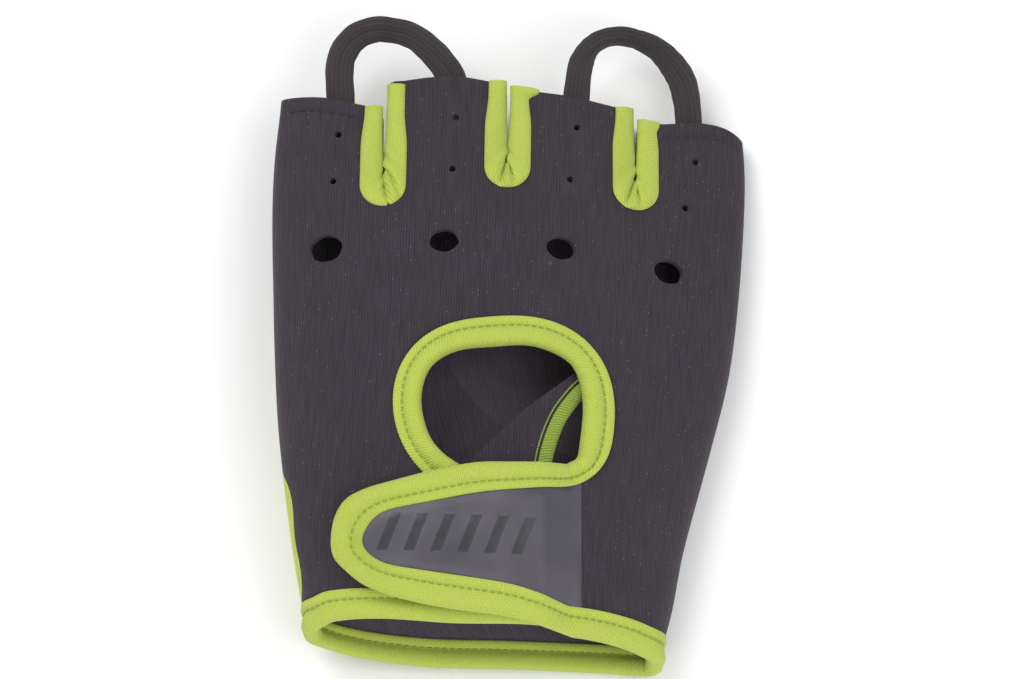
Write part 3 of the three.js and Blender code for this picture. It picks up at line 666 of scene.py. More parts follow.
HEM_STITCH = Stitch(2.2, 1.7, 0.42)
GRIP_STITCH = Stitch(2.3, 1.7, 0.45)
THUMB_STITCH = Stitch(2.2, 1.6, 0.4)
HEM_END = 0.484  # how far across the finger hems are stitched, as a share of the palm's width
# The rings of one stitch: shares of its length, shares of its girth, and heights in girths.
STITCH_RINGS = (
    (-0.5, 0.3, -0.5), (-0.42, 0.75, -0.12), (-0.2, 1.0, 0.1), (0.2, 1.0, 0.1), (0.42, 0.75, -0.12), (0.5, 0.3, -0.5),
)


def laid(pattern: Pattern) -> tuple[Array, Array, Array, Array, Array]:
    """Lays a cut piece round the glove.

    Args:
        pattern: The piece, in millimetres of cut pattern.

    Returns:
        The angles and the distances of its points, their places, their outward directions, and their places in the
        weave.
    """
    angle, y = (pattern.points / SCALE).T
    return angle, y, FORM.point(angle, y), FORM.normal(angle, y), np.stack([FORM.unrolled(angle, y), y], -1)


def stitches(line: Array, out: Array, size: Stitch) -> Shape:
    """A row of stitches.

    Args:
        line: The line that the thread follows on the surface.
        out: The surface's outward direction at each of its points.
        size: The stitches' sizes.

    Returns:
        The stitches.
    """
    far = lengths(line)
    count = max(int(far[-1] / size.pitch), 1)
    middles = (np.arange(count) + 0.5) * far[-1] / count
    shares, girths, sinks = np.array(STITCH_RINGS).T
    girths = girths * size.girth / 2
    at = middles[:, None] + shares[None, :] * size.length
    middle, normal = along_line(line, far, at), unit(along_line(out, far, at))
    aside = np.cross(unit(np.gradient(middle, axis=1)), normal)
    turn = np.linspace(0, 2 * np.pi, 6, endpoint=False)
    rings = middle[:, :, None] + normal[:, :, None] * (sinks * size.girth)[None, :, None, None]
    rings = rings + girths[None, :, None, None] * (
        aside[:, :, None] * np.cos(turn)[None, None, :, None] + normal[:, :, None] * np.sin(turn)[None, None, :, None]
    )
    weave = np.stack(np.broadcast_arrays(turn[None, :] * size.girth / 2, (shares * size.length)[:, None]), -1)
    return joined([swept(stitch[:, ::-1], weave) for stitch in rings])


# Finishes


def linear(shade: str) -> tuple[float, float, float, float]:
    """A screen colour such as "40383f" as the linear colour that the shaders take."""
    parts = [int(shade[i : i + 2], 16) / 255 for i in (0, 2, 4)]
    red, green, blue = [c / 12.92 if c <= 0.04045 else ((c + 0.055) / 1.055) ** 2.4 for c in parts]
    return red, green, blue, 1.0


def add_node(
    tree: bpy.types.NodeTree, kind: str, inputs: dict[Any, Any] | None = None, **settings: Any
) -> bpy.types.Node:
    """Adds a node.

    Args:
        tree: The material's nodes.
        kind: The node's type.
        inputs: A value or another node's output for each named socket.
        **settings: The node's own settings.

    Returns:
        The node.
    """
    node = tree.nodes.new(kind)
    for name, value in settings.items():
        setattr(node, name, value)
    for name, value in (inputs or {}).items():
        if isinstance(value, Socket):
            tree.links.new(value, node.inputs[name])
        else:
            node.inputs[name].default_value = value
    return node


@dataclass
class Weave:
    """Makes the nodes of one material from its places in the weave, in millimetres."""

    tree: bpy.types.NodeTree
    place: Socket = field(init=False)
    across: Socket = field(init=False)
    along: Socket = field(init=False)

    def __post_init__(self) -> None:
        """Reads the places."""
        self.place = add_node(self.tree, "ShaderNodeUVMap", uv_map="weave").outputs["UV"]
        parts = add_node(self.tree, "ShaderNodeSeparateXYZ", {0: self.place})
        self.across, self.along = parts.outputs["X"], parts.outputs["Y"]

    def sum(self, operation: str, first: Any, second: Any = 0.0, third: Any = 0.0) -> Socket:
        """One step of arithmetic."""
        inputs = {0: first, 1: second, 2: third}
        return add_node(self.tree, "ShaderNodeMath", inputs, operation=operation).outputs[0]

    def ribs(self, coordinate: Socket, pitch: float, wander: Any = 0.0) -> Socket:
        """Even ribs from 0 to 1, spaced by a pitch and pushed about by a wander in millimetres."""
        moved = self.sum("ADD", coordinate, wander)
        wave = self.sum("SINE", self.sum("MULTIPLY", moved, 2 * math.pi / pitch))
        return self.sum("MULTIPLY_ADD", wave, 0.5, 0.5)

    def noise(self, size: float, detail: float = 2.0, stretch: tuple[float, float] = (1.0, 1.0)) -> Socket:
        """Soft blotches of about a given size in millimetres."""
        spread = {0: self.place, 1: (*stretch, 1.0)}
        scaled = add_node(self.tree, "ShaderNodeVectorMath", spread, operation="MULTIPLY")
        inputs = {"Vector": scaled.outputs[0], "Scale": 1 / size, "Detail": detail, "Roughness": 0.55}
        return add_node(self.tree, "ShaderNodeTexNoise", inputs, noise_dimensions="2D").outputs["Fac"]

    def cells(self, size: float, feature: str = "F1") -> bpy.types.Node:
        """Cells of about a given size in millimetres."""
        inputs = {"Vector": self.place, "Scale": 1 / size}
        return add_node(self.tree, "ShaderNodeTexVoronoi", inputs, voronoi_dimensions="2D", feature=feature)

    def step(self, value: Socket, low: float, high: float) -> Socket:
        """A value spread from 0 at low to 1 at high, and held there."""
        inputs = {"Value": value, "From Min": low, "From Max": high}
        return add_node(self.tree, "ShaderNodeMapRange", inputs, clamp=True).outputs["Result"]

    def mixed(self, share: Any, first: Any, second: Any) -> Socket:
        """A colour between two, each given as a screen colour or as an output."""
        first, second = [linear(c) if isinstance(c, str) else c for c in (first, second)]
        node = add_node(self.tree, "ShaderNodeMix", {0: share, 6: first, 7: second}, data_type="RGBA")
        return node.outputs[2]


@dataclass(frozen=True)
class Finish:
    """What all finishes share: a name, a gloss, a nap, and a pattern of colour and height."""

    name: str
    shade: str
    roughness: float = 0.85
    sheen: float = 0.0
    relief: float = 0.15  # millimetres from the pattern's low places to its high ones
    gloss: float = field(default=0.3, kw_only=True)

    def material(self) -> bpy.types.Material:
        """The finish as a material, made once."""
        return bpy.data.materials.get(self.name) or self.made()

    def made(self) -> bpy.types.Material:
        """Makes the material."""
        material = bpy.data.materials.new(self.name)
        material.use_nodes = True
        tree = material.node_tree
        tree.nodes.clear()
        colour, height = self.pattern(Weave(tree))
        bump = add_node(tree, "ShaderNodeBump", {"Strength": 1.0, "Distance": self.relief / 1000, "Height": height})
        inputs = {
            "Base Color": colour,
            "Roughness": self.roughness,
            "Normal": bump.outputs[0],
            "Sheen Weight": self.sheen,
            "Sheen Roughness": 0.5,
            "Specular IOR Level": self.gloss,
            "IOR": 1.5,
        }
        surface = add_node(tree, "ShaderNodeBsdfPrincipled", inputs)
        add_node(tree, "ShaderNodeOutputMaterial", {"Surface": surface.outputs[0]})
        return material

    def pattern(self, weave: Weave) -> tuple[Any, Any]:
        """The colour and the height over the surface, which each kind of finish makes in its own way."""
        raise NotImplementedError(self.name)


@dataclass(frozen=True)
class RibbedKnit(Finish):
    """Warp-knitted nylon over neoprene foam: fine ribs along the hand give it a dry, combed look."""

    # crest and groove: the ribs' tops painted lighter as highlight and their grooves painted darker as shade
    crest: str = "4d4450"
    groove: str = "2d2730"
    lint: str = "8f8594"
    pitch: float = 0.62  # drawn coarser than real ribs, which would run together at this distance

    def pattern(self, weave: Weave) -> tuple[Any, Any]:
        """Ribs with small loops on them, soft mottling and a little pale lint."""
        wander = weave.sum("MULTIPLY", weave.noise(3.0), 0.35)
        ribs = weave.ribs(weave.across, self.pitch, wander)
        loops = weave.ribs(weave.along, self.pitch * 0.8, weave.sum("MULTIPLY", ribs, 0.2))
        fuzz = weave.noise(0.35, 3.0)
        height = weave.sum("ADD", weave.sum("MULTIPLY_ADD", loops, 0.25, ribs), weave.sum("MULTIPLY", fuzz, 0.5))
        streaks = weave.sum("MULTIPLY", weave.noise(0.75, 2.0, (1.0, 0.1)), 0.9)
        # how far the cloth is painted towards its crest colour: the ribs' height as painted highlight and shade, with
        # the cloth's own streaks and fuzz
        light = weave.sum("ADD", weave.sum("MULTIPLY", height, 0.55), weave.sum("ADD", streaks, fuzz))
        tone = weave.mixed(weave.step(light, 0.85, 1.75), self.groove, self.crest)
        mottle = weave.step(weave.noise(7.0, 3.0), 0.35, 0.7)
        cloth = weave.mixed(weave.sum("MULTIPLY", mottle, 0.35), tone, self.shade)
        cells = weave.cells(1.1)
        few = weave.step(weave.sum("FRACT", weave.sum("MULTIPLY", cells.outputs["Color"], 7.31)), 0.94, 0.97)
        dot = weave.step(cells.outputs["Distance"], 0.13, 0.04)
        return weave.mixed(weave.sum("MULTIPLY", few, dot), cloth, self.lint), height


@dataclass(frozen=True)
class BindingTape(Finish):
    """Knitted elastic binding: matt ribs run across the tape, in a dye that took a little unevenly."""

    # crest and groove: the ribs' tops painted lighter as highlight and their grooves painted darker as shade
    crest: str = "c0cf59"
    groove: str = "a4b446"
    pitch: float = 0.55  # drawn coarser than real ribs and yarns, as the knit's are
    yarn: float = 0.55

    def pattern(self, weave: Weave) -> tuple[Any, Any]:
        """Ribs across the tape with crossing yarns, in a slightly uneven dye."""
        slant = weave.sum("MULTIPLY", weave.along, 0.35)
        wander = weave.sum("MULTIPLY_ADD", weave.noise(2.2), 0.3, slant)
        ribs = weave.ribs(weave.across, self.pitch, wander)
        yarns = weave.ribs(weave.along, self.yarn, weave.sum("MULTIPLY", ribs, 0.2))
        fuzz = weave.noise(0.3, 3.0)
        height = weave.sum("ADD", weave.sum("MULTIPLY_ADD", yarns, 0.3, ribs), weave.sum("MULTIPLY", fuzz, 0.7))
        # painted shade in the grooves and painted highlight on the crests
        tone = weave.mixed(weave.step(height, 0.15, 1.6), self.groove, self.crest)
        dye = weave.step(weave.noise(6.0, 3.0), 0.3, 0.7)
        return weave.mixed(weave.sum("MULTIPLY", dye, 0.4), tone, self.shade), height


@dataclass(frozen=True)
class PebbledSuede(Finish):
    """Synthetic suede with a pebbled grain, rubbed smooth and darker where the hand grips."""

    # grain and dip: the pebbles' tops painted lighter as highlight, the dips and creases between them painted darker
    # as shade
    grain: str = "6a6670"
    dip: str = "3f3b45"

    def pattern(self, weave: Weave) -> tuple[Any, Any]:
        """Rounded pebbles of uneven size over soft creases."""
        pebbles = weave.cells(1.5, "SMOOTH_F1").outputs["Distance"]
        small = weave.cells(0.7).outputs["Distance"]
        creases = weave.noise(4.5, 4.0, (1.0, 0.7))
        rough = weave.sum("MULTIPLY_ADD", small, -0.35, weave.sum("MULTIPLY", pebbles, -1.0))
        height = weave.sum("MULTIPLY_ADD", creases, 0.9, rough)
        # painted shade in the dips and creases, painted highlight on the pebbles
        tone = weave.mixed(weave.step(height, -0.55, 0.35), self.dip, self.grain)
        rubbed = weave.step(weave.noise(14.0, 2.0), 0.4, 0.65)
        return weave.mixed(weave.sum("MULTIPLY", rubbed, 0.4), tone, self.shade), height


@dataclass(frozen=True)
class SatinRubber(Finish):
    """Moulded soft rubber: even and satin, with the faintest mould texture and dust."""

    pale: str = "524e58"
    dust: str = "6f6b76"

    def pattern(self, weave: Weave) -> tuple[Any, Any]:
        """A slow change of tone under a very fine grain."""
        grain = weave.noise(0.25, 2.0)
        slow = weave.step(weave.noise(16.0, 2.0), 0.3, 0.7)
        tone = weave.mixed(slow, self.shade, self.pale)
        return weave.mixed(weave.sum("MULTIPLY", weave.step(grain, 0.5, 0.75), 0.1), tone, self.dust), grain


@dataclass(frozen=True)
class KnitElastic(Finish):
    """Woven elastic webbing: tight slanting yarns, with a dull shine where they turn over."""

    # crest and groove: the yarns' turns painted lighter as highlight and the hollows between them painted darker as
    # shade
    crest: str = "4b4447"
    groove: str = "272325"
    row: float = 1.0  # rows and yarns are drawn coarser than the real ones
    yarn: float = 0.5

    def pattern(self, weave: Weave) -> tuple[Any, Any]:
        """Yarns that slant one way and then the other."""
        rows = weave.ribs(weave.along, self.row)
        slant = weave.sum("MULTIPLY", rows, 0.45)
        yarns = weave.ribs(weave.across, self.yarn, slant)
        fuzz = weave.noise(0.3, 3.0)
        height = weave.sum("ADD", weave.sum("MULTIPLY_ADD", rows, 0.35, yarns), weave.sum("MULTIPLY", fuzz, 0.4))
        # painted shade in the hollows, painted highlight on the yarns' turns
        return weave.mixed(weave.step(height, 0.2, 1.5), self.groove, self.crest), height


@dataclass(frozen=True)
class Thread(Finish):
    """Twisted polyester sewing thread, which catches the light at each turn of its twist."""

    # crest: the turns of the twist painted lighter as a highlight
    crest: str = "6a6470"
    ply: float = 0.45

    def pattern(self, weave: Weave) -> tuple[Any, Any]:
        """Plies that wind round the thread."""
        plies = weave.ribs(weave.along, self.ply, weave.across)
        return weave.mixed(plies, self.shade, self.crest), plies


@dataclass(frozen=True)
class StudioPaper(Finish):
    """A sheet of matt white paper, with the faint cloudiness of its pulp."""

    cloud: str = "fdfdfd"

    def pattern(self, weave: Weave) -> tuple[Any, Any]:
        """Slow clouds, hardly to be seen."""
        cloud = weave.noise(60.0, 3.0)
        return weave.mixed(cloud, self.shade, self.cloud), cloud


# In the finishes below, crest is the rib tops' colour painted lighter as highlight and groove the grooves' colour
# painted darker as shade; a thread's crest is its twist painted lighter as highlight.
KNIT = RibbedKnit("ribbed_knit", "332c34", 0.9, 0.1, 0.1, "403841", "262028", "857b8d")
LINING = RibbedKnit("brushed_lining", "3a343c", 0.95, 0.1, 0.08, "453e48", "2b262e", "5a535e")
# The palm's two linings are the lining painted lighter, as light that would reach the palm's insides seen through the
# window and the knuckle holes; the grip's is painted lighter still.
PALM_LINING_PAINTED_LIGHTER = RibbedKnit("palm_lining_painted_lighter", "4b4450", 0.95, 0.1, 0.06, "5c545f", "3e3842", "7a7280")
GRIP_LINING_PAINTED_LIGHTER = RibbedKnit("grip_lining_painted_lighter", "574f5a", 0.95, 0.1, 0.06, "645c67", "4b444d", "9a92a0")
NEOPRENE = RibbedKnit("bright_neoprene", "bccb48", 0.88, 0.15, 0.12, "c9d552", "98a63a", "dbe58a", 0.7)
TAPE = BindingTape("binding_tape", "b5c650", 0.8, 0.15, 0.1)
# The flap's tape: the binding tape painted darker as shade where it lies deep under the back, with coarser, stronger
# ribs.
SHADED_TAPE = BindingTape("ribbed_tape_painted_shade", "9fb548", 0.85, 0.15, 0.2, "abc24e", "66752f", 0.62)
SUEDE = PebbledSuede("pebbled_suede", "4a4750", 0.8, 0.15, 0.3)
RUBBER = SatinRubber("satin_rubber", "45414a", 0.46, 0.0, 0.02, gloss=0.5)
DARK_RUBBER = SatinRubber("dark_rubber", "2b2c31", 0.42, 0.0, 0.02, "323338", gloss=0.5)
ELASTIC = KnitElastic("knit_elastic", "3c3639", 0.82, 0.1, 0.12)
DARK_THREAD = Thread("dark_thread", "221e24", 0.65, 0.0, 0.06, "433c47")
BRIGHT_THREAD = Thread("bright_thread", "84943a", 0.65, 0.0, 0.06, "a6bd52")


def placed(name: str, data: bpy.types.ID) -> bpy.types.Object:
    """Puts an object into the scene."""
    made = bpy.data.objects.new(name, data)
    bpy.context.scene.collection.objects.link(made)
    return made


def make_piece(name: str, shape: Shape, finishes: tuple[Finish, ...], slot: str, nodes: tuple[str, ...] = ()) -> None:
    """Makes a piece of the glove and hands it to the frame.

    Args:
        name: The piece's name.
        shape: Its mesh, in millimetres.
        finishes: Its finishes, by the numbers that its faces have.
        slot: The record's material slot; not used.
        nodes: The CAD nodes that it stands for.
    """
    points = (shape.points - np.array([*ORIGIN, 0.0])) / 1000
    faces = [face for group, _ in shape.faces for face in group.tolist()]
    looks = np.concatenate([np.full(len(group), min(look, len(finishes) - 1)) for group, look in shape.faces])
    mesh = bpy.data.meshes.new(name)
    mesh.from_pydata(points.tolist(), [], faces)
    mesh.polygons.foreach_set("material_index", looks.astype(np.int32))
    mesh.polygons.foreach_set("use_smooth", np.ones(len(faces), bool))
    corners = np.empty(len(mesh.loops), np.int32)
    mesh.loops.foreach_get("vertex_index", corners)
    mesh.uv_layers.new(name="weave").data.foreach_set("uv", shape.weave[corners].astype(np.float32).ravel())
    mesh.set_sharp_from_angle(angle=math.radians(SHARP))
    for finish in finishes:
        mesh.materials.append(finish.material())
    piece = placed(name, mesh)
    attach(piece, "root")
    if nodes:
        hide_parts(*nodes)
    LOG.info("%s: %d faces", name, len(faces))


# Sewing


@dataclass(frozen=True)
class Tape:
    """Binding tape folded over an edge and stitched through.

    profile gives the outside of its upper half, from the stitched edge to the fold: shares of the width from the
    fold, and heights over the middle of the cloth.
    """

    width: float = 6.6
    fold: float = 1.2  # outside the edge that it binds
    groove: float = 0.67  # share of the width where the thread pulls it in
    profile: tuple[tuple[float, float], ...] = (
        (0.2, 0.92), (0.97, 0.92), (1.0, 1.02), (0.99, 1.26), (0.95, 1.42), (0.86, 1.48), (0.77, 1.4), (0.7, 1.16),
        (0.67, 1.03), (0.635, 1.2), (0.59, 1.56), (0.51, 1.86), (0.41, 2.04), (0.3, 2.1), (0.19, 1.99),
        (0.1, 1.68), (0.035, 1.17), (0.0, 0.6), (-0.015, 0.0),
    )
    step: float = 0.8
    flutter: float = 0.09  # millimetres that the puffed side rises and falls by
    pucker: float = 0.22  # and how far it puckers where it bends
    tug: float = 0.1  # how far each stitch pulls it in
    tug_place: tuple[float, float] = (0.59, 0.045)  # where on its width that shows, and how far it reaches
    stitch: Stitch = Stitch(1.7, 1.275, 0.42)

    def sewn(
        self, fold: Array, stitched: Array, place: Place, slack: float = 1.0
    ) -> tuple[Array, Array, Array, Shape]:
        """Sews a length of tape.

        Args:
            fold: The line of its fold: two columns for the place, a third for its lift off the cloth, and marks.
            stitched: The line of its stitched edge, in the same columns.
            place: Gives points and outward directions in the middle of the cloth.
            slack: How strongly the tape puckers in its bends.

        Returns:
            The tape's rings, their places in the weave, the line's last column and the stitches.
        """
        far = lengths(place(*((fold + stitched) / 2)[:, :2].T)[0])
        at = np.linspace(0, far[-1], max(int(far[-1] / self.step), 8) + 1)
        fold, stitched = along_line(fold, far, at), along_line(stitched, far, at)
        face = np.array(self.profile)
        lower = (face * [1, -1])[::-1][1:]
        ring = np.vstack([face, lower])
        share = ring[None, :, :1]
        spots = fold[:, None] * (1 - share) + stitched[:, None] * share
        points, out = place(spots[..., 0], spots[..., 1])
        middle = place(*fold[:, :2].T)[0]
        run = lengths(middle)
        pucker = self.puckers(middle, run) * slack
        shown = ((0, 0.3), (0.1, 0.8), (0.35, 1), (0.6, 0.5), (self.groove, 0), (0.85, 0.4), (1, 0.2))
        puff = np.interp(ring[:, 0], *zip(*shown))  # how much of a pucker shows across its width
        pull = self.tug * (1 + np.cos(2 * np.pi * run / self.stitch.pitch))[:, None]
        pull = pull * dent(ring[:, 0] - self.tug_place[0], (1.0, self.tug_place[1]))
        heights = ring[:, 1] + np.sign(ring[:, 1]) * (puff * pucker[:, None] - pull)
        points = points + out * heights[..., None]
        points[..., 2] = np.maximum(points[..., 2] + spots[..., 2], 0.0)
        across = np.concatenate([[0.0], np.cumsum(np.linalg.norm(np.diff(ring * [self.width, 1], axis=0), axis=1))])
        weave = pairs(run, across)
        line = fold * (1 - self.groove) + stitched * self.groove
        spot, up = place(*line[:, :2].T)
        spot[:, 2] += line[:, 2]
        both = [stitches(spot + way * (1.0 + 0.3 * self.stitch.girth), way, self.stitch) for way in (up, -up)]
        return points, weave, fold[:, -1], joined(both)

    @staticmethod
    def evened(line: Array, at: Array) -> Array:
        """A line in points at even shares of its length."""
        far = lengths(line)
        return along_line(line, far, at * far[-1])

    def puckers(self, middle: Array, run: Array) -> Array:
        """How far the tape puffs out along its run: a slow flutter, and puckers where it bends.

        Args:
            middle: The line of the fold.
            run: The distance of each of its points from its start.

        Returns:
            Millimetres.
        """
        ahead = np.gradient(middle, run, axis=0)
        bend = np.linalg.norm(np.gradient(ahead, run, axis=0), axis=1)
        bend = np.convolve(bend, np.ones(5) / 5, mode="same")
        flutter = self.flutter * (np.sin(run / 5.3 + 0.7) + 0.6 * np.sin(run / 2.1))
        return flutter + self.pucker * smooth(bend / 0.16) * np.sin(2 * np.pi * run / 2.3)


def seam_on(place: Place, line: Array, height: float, size: Stitch) -> Shape:
    """Stitches along a plan line on a surface.

    Args:
        place: Gives points and outward directions in the middle of the cloth.
        line: The line, in plan.
        height: The thread's height over the middle of the cloth.
        size: The stitches' sizes.

    Returns:
        The stitches.
    """
    points, out = place(*line.T)
    return stitches(points + out * height, out, size)


def hem_seams(side: Side, inset: float, height: float) -> list[Shape]:
    """The stitches of the finger hems on one face.

    Args:
        side: The face.
        inset: How far they run from the finger edge.
        height: The thread's height over the middle of the cloth.

    Returns:
        A row for each finger.
    """
    marks = [slot.across * PALM_WIDTH for slot in SLOTS]
    reach = FINGER_SLOTS.width + 1.2
    starts = [-HEM_END * PALM_WIDTH, *[mark + reach for mark in marks]]
    ends = [*[mark - reach for mark in marks], HEM_END * PALM_WIDTH]
    rows = [np.linspace(low, high, 60) for low, high in zip(starts, ends)]
    lines = [np.stack([x, FINGER_EDGE.y_at(x) - inset], -1) for x in rows]
    return [seam_on(FORM.face(side), line, height, HEM_STITCH) for line in lines]


def make_stitches(name: str, rows: list[Shape], thread: Finish, slot: str) -> None:
    """Makes one piece of rows of stitches, kept above the floor.

    Args:
        name: The piece's name.
        rows: The rows.
        thread: The thread's finish.
        slot: The record's material slot.
    """
    made = joined(rows)
    made.points[:, 2] = np.maximum(made.points[:, 2], 0)
    make_piece(name, made, (thread,), slot)


def folds(x: Array, y: Array) -> Array:
    """Slow rises and falls of cloth that has been worn, in millimetres."""
    slow = np.sin(x / 8.3 + y / 15.1 + 1.3) * np.sin(y / 10.7 - x / 21.0 + 0.4)
    quick = np.sin(x / 3.9 - y / 8.7 + 2.1) * np.sin(y / 5.3 + x / 9.1)
    return 0.22 * slow + 0.07 * quick


@dataclass(frozen=True)
class BackOfHand:
    """The dark knitted back, which wraps round to the palm side."""

    step: float = 1.15
    knuckle_hole: tuple[float, float] = (3.2, 2.75)
    first_hole: float = 1.15  # how much larger the index finger's hole has worn
    vent: float = 0.8
    hem: float = 3.2  # from the finger edge to the stitches of its hem
    thread_height: float = 0.75
    # How deep the cloth dips at its stitches, holes and vents and round the window, and how far that reaches.
    stitch_dent: tuple[float, float] = (0.2, 0.6)
    hole_dent: tuple[float, float] = (0.4, 0.8)
    vent_dent: tuple[float, float] = (0.25, 1.3)
    window_dent: tuple[float, float] = (0.3, 7.0)

    @staticmethod
    def slot_cut(slot: Slot, side: Side) -> Array:
        """The notch of a finger slot, as angle and y.

        Args:
            slot: The slot.
            side: The face of the glove.

        Returns:
            The closed notch.
        """
        path = FINGER_SLOTS.path(slot, FINGER_SLOTS.gap / 2 + FINGER_SLOTS.fold, 1.0)
        beyond = max(path[0, 1], path[-1, 1]) + 12
        notch = np.vstack([path, [[path[-1, 0], beyond], [path[0, 0], beyond]]])
        return FORM.places(notch, side)

    def relief(self, x: Array, y: Array) -> Array:
        """How far the outside stands out of the smooth form.

        Args:
            x: Plan places across.
            y: Plan places along.

        Returns:
            Millimetres.
        """
        points = np.stack([x, y], -1)
        rise = folds(x, y)
        edge = FINGER_EDGE.y_at(x)
        rise += 0.15 * smooth(y - edge + self.hem + 0.5) - dent(edge - self.hem - y, self.stitch_dent)
        for i in range(len(KNUCKLE_HOLES.rows)):
            loop = self.round_hole(i)
            rise -= dent(distance(points, np.vstack([loop, loop[:1]])), self.hole_dent)
        for vent in VENTS.plan():
            rise -= dent(np.linalg.norm(points - vent, axis=1), self.vent_dent)
        depth, reach = self.window_dent
        rise -= depth * np.exp(-distance(points, curve(WINDOW.plan())) / reach)
        return rise

    def make(self) -> None:
        """Makes the back and its stitches."""
        outline = FORM.outline((BACK_HEM, FINGER_EDGE), (FORM.little_seam, FORM.thumb_seam), (170, 130))
        loops = [np.vstack([curve(WINDOW.plan(), 8), ClosureStrap.slit_corners()])]
        loops += [self.round_hole(i) for i in range(len(KNUCKLE_HOLES.rows))]
        loops += [oval(c, self.vent, self.vent, 12) for c in VENTS.plan()]
        holes = [*[FORM.places(loop) for loop in loops], *[self.slot_cut(slot, Side.BACK) for slot in SLOTS]]
        pattern = Pattern.cut(outline * SCALE, [hole * SCALE for hole in holes], self.step)
        angle, y, surface, out, weave = laid(pattern)
        upper = smooth(np.sin(angle) / 0.25)
        rise = self.relief(surface[:, 0], y) * upper
        outer = surface + out * rise[:, None]
        inner = surface - out * (CLOTH - 0.6 * rise[:, None])
        outer[:, 2] = np.maximum(outer[:, 2], 0)
        make_piece("back_of_hand", pattern.cloth(outer, inner, weave), (KNIT, LINING), "knit", ("back_panel",))
        make_stitches("back_stitches", hem_seams(Side.BACK, self.hem, self.thread_height), DARK_THREAD, "knit")

    def round_hole(self, i: int) -> Array:
        """The slightly uneven edge of one knuckle hole.

        Args:
            i: The hole, counted from the index finger.

        Returns:
            Plan points.
        """
        turn = np.linspace(0, 2 * np.pi, 36, endpoint=False)
        size = np.array(self.knuckle_hole) * (self.first_hole if i == 0 else 1)
        uneven = 1 + 0.03 * np.sin(2 * turn + i) + 0.012 * np.sin(5 * turn + 2 * i)
        return KNUCKLE_HOLES.plan()[i] + uneven[:, None] * size * np.stack([np.cos(turn), np.sin(turn)], -1)


@dataclass(frozen=True)
class Palm:
    """The suede grip over the fingers and the bright neoprene heel below it."""

    step: float = 1.2
    overlap: float = 0.35  # how far the grip stands out of the heel
    rows: tuple[float, float] = (1.4, 2.9)  # from the grip's edge to its two rows of stitches
    inset: float = 4.5  # between the ends of those rows and the glove's sides
    row_height: float = 1.25  # of their thread
    hem: float = 2.2  # from the finger edge to the stitches of its hem
    hem_height: float = 1.1
    thumb_hole: tuple[float, float, float, float] = (-0.272, 0.4, 6.6, 12.0)  # its middle, and half its two widths
    crease: float = 0.5  # the size of its folds, as a share of the back's
    crease_closeness: float = 1.7  # how much closer together they are
    settling: float = 0.3  # how far it is pressed in by the glove's weight

    def make(self) -> None:
        """Makes the grip, the heel and their stitches."""
        slots = [BackOfHand.slot_cut(slot, Side.PALM) for slot in SLOTS]
        across, along, rx, ry = self.thumb_hole
        hole = FORM.places(oval(np.array([across * PALM_WIDTH, along * GLOVE_LENGTH]), rx, ry, 60), Side.PALM)
        # their insides take linings painted lighter, standing in for light that reaches them through the window and
        # the knuckle holes
        self.panel("palm_grip", (GRIP_EDGE, FINGER_EDGE), slots, self.overlap, (SUEDE, GRIP_LINING_PAINTED_LIGHTER), "suede")
        self.panel("palm_heel", (PALM_HEM, GRIP_EDGE), [hole], 0.0, (NEOPRENE, PALM_LINING_PAINTED_LIGHTER), "neoprene")
        edge = curve(GRIP_EDGE.plan())
        part = FORM.section(edge[:, 1])
        edge = edge[np.abs(edge[:, 0] - part.middle) < part.half - self.inset]
        rows = [*[edge + [0, off] for off in self.rows], curve(CROSS_SEAM.plan())]
        made = [seam_on(FORM.face(Side.PALM), spaced(row, 1.0), self.row_height, GRIP_STITCH) for row in rows]
        made += hem_seams(Side.PALM, self.hem, self.hem_height)
        make_stitches("palm_stitches", made, DARK_THREAD, "suede")

    def panel(
        self, name: str, edges: tuple[Table, Table], holes: list[Array], proud: float, finishes: tuple[Finish, ...],
        slot: str,
    ) -> None:
        """Makes one panel of the palm.

        Args:
            name: Its name, and its CAD node's.
            edges: Its edges towards the wrist and towards the fingers.
            holes: What is cut out of it, as angle and y.
            proud: How far it stands out of the smooth form.
            finishes: Its finishes.
            slot: The record's material slot.
        """

        def little(y: Array) -> Array:
            """The little finger's seam, counted on round the palm."""
            return 2 * np.pi + FORM.little_seam(y)

        outline = FORM.outline(edges, (FORM.thumb_seam, little), (130, 90))
        pattern = Pattern.cut(outline * SCALE, [hole * SCALE for hole in holes], self.step)
        angle, y, surface, out, weave = laid(pattern)
        close = self.crease_closeness
        creases = self.crease * folds(close * surface[:, 0] + 9, close * y) - self.settling
        rise = proud + creases * smooth(-np.sin(angle) / 0.3)
        outer = surface + out * rise[:, None]
        inner = surface - out * CLOTH
        outer[:, 2] = np.maximum(outer[:, 2], 0)
        inner[:, 2] = np.maximum(inner[:, 2], CLOTH * 0.8)
        make_piece(name, pattern.cloth(outer, inner, weave), finishes, slot, (name,))


@dataclass(frozen=True)
class ThumbSide:
    """One side of the thumb's tube."""

    name: str
    finishes: tuple[Finish, ...]
    slot: str
    bright: bool
    columns: int  # points round it
    pleats: tuple[float, float, float]  # their depth, how far they reach from the root, and their number round it


THUMB_SIDES = (
    ThumbSide("thumb_back", (KNIT, LINING), "knit", False, 84, (0.4, 9.0, 9)),
    ThumbSide("thumb_inner_side", (NEOPRENE, LINING), "neoprene", True, 56, (0.75, 17.0, 11)),
)


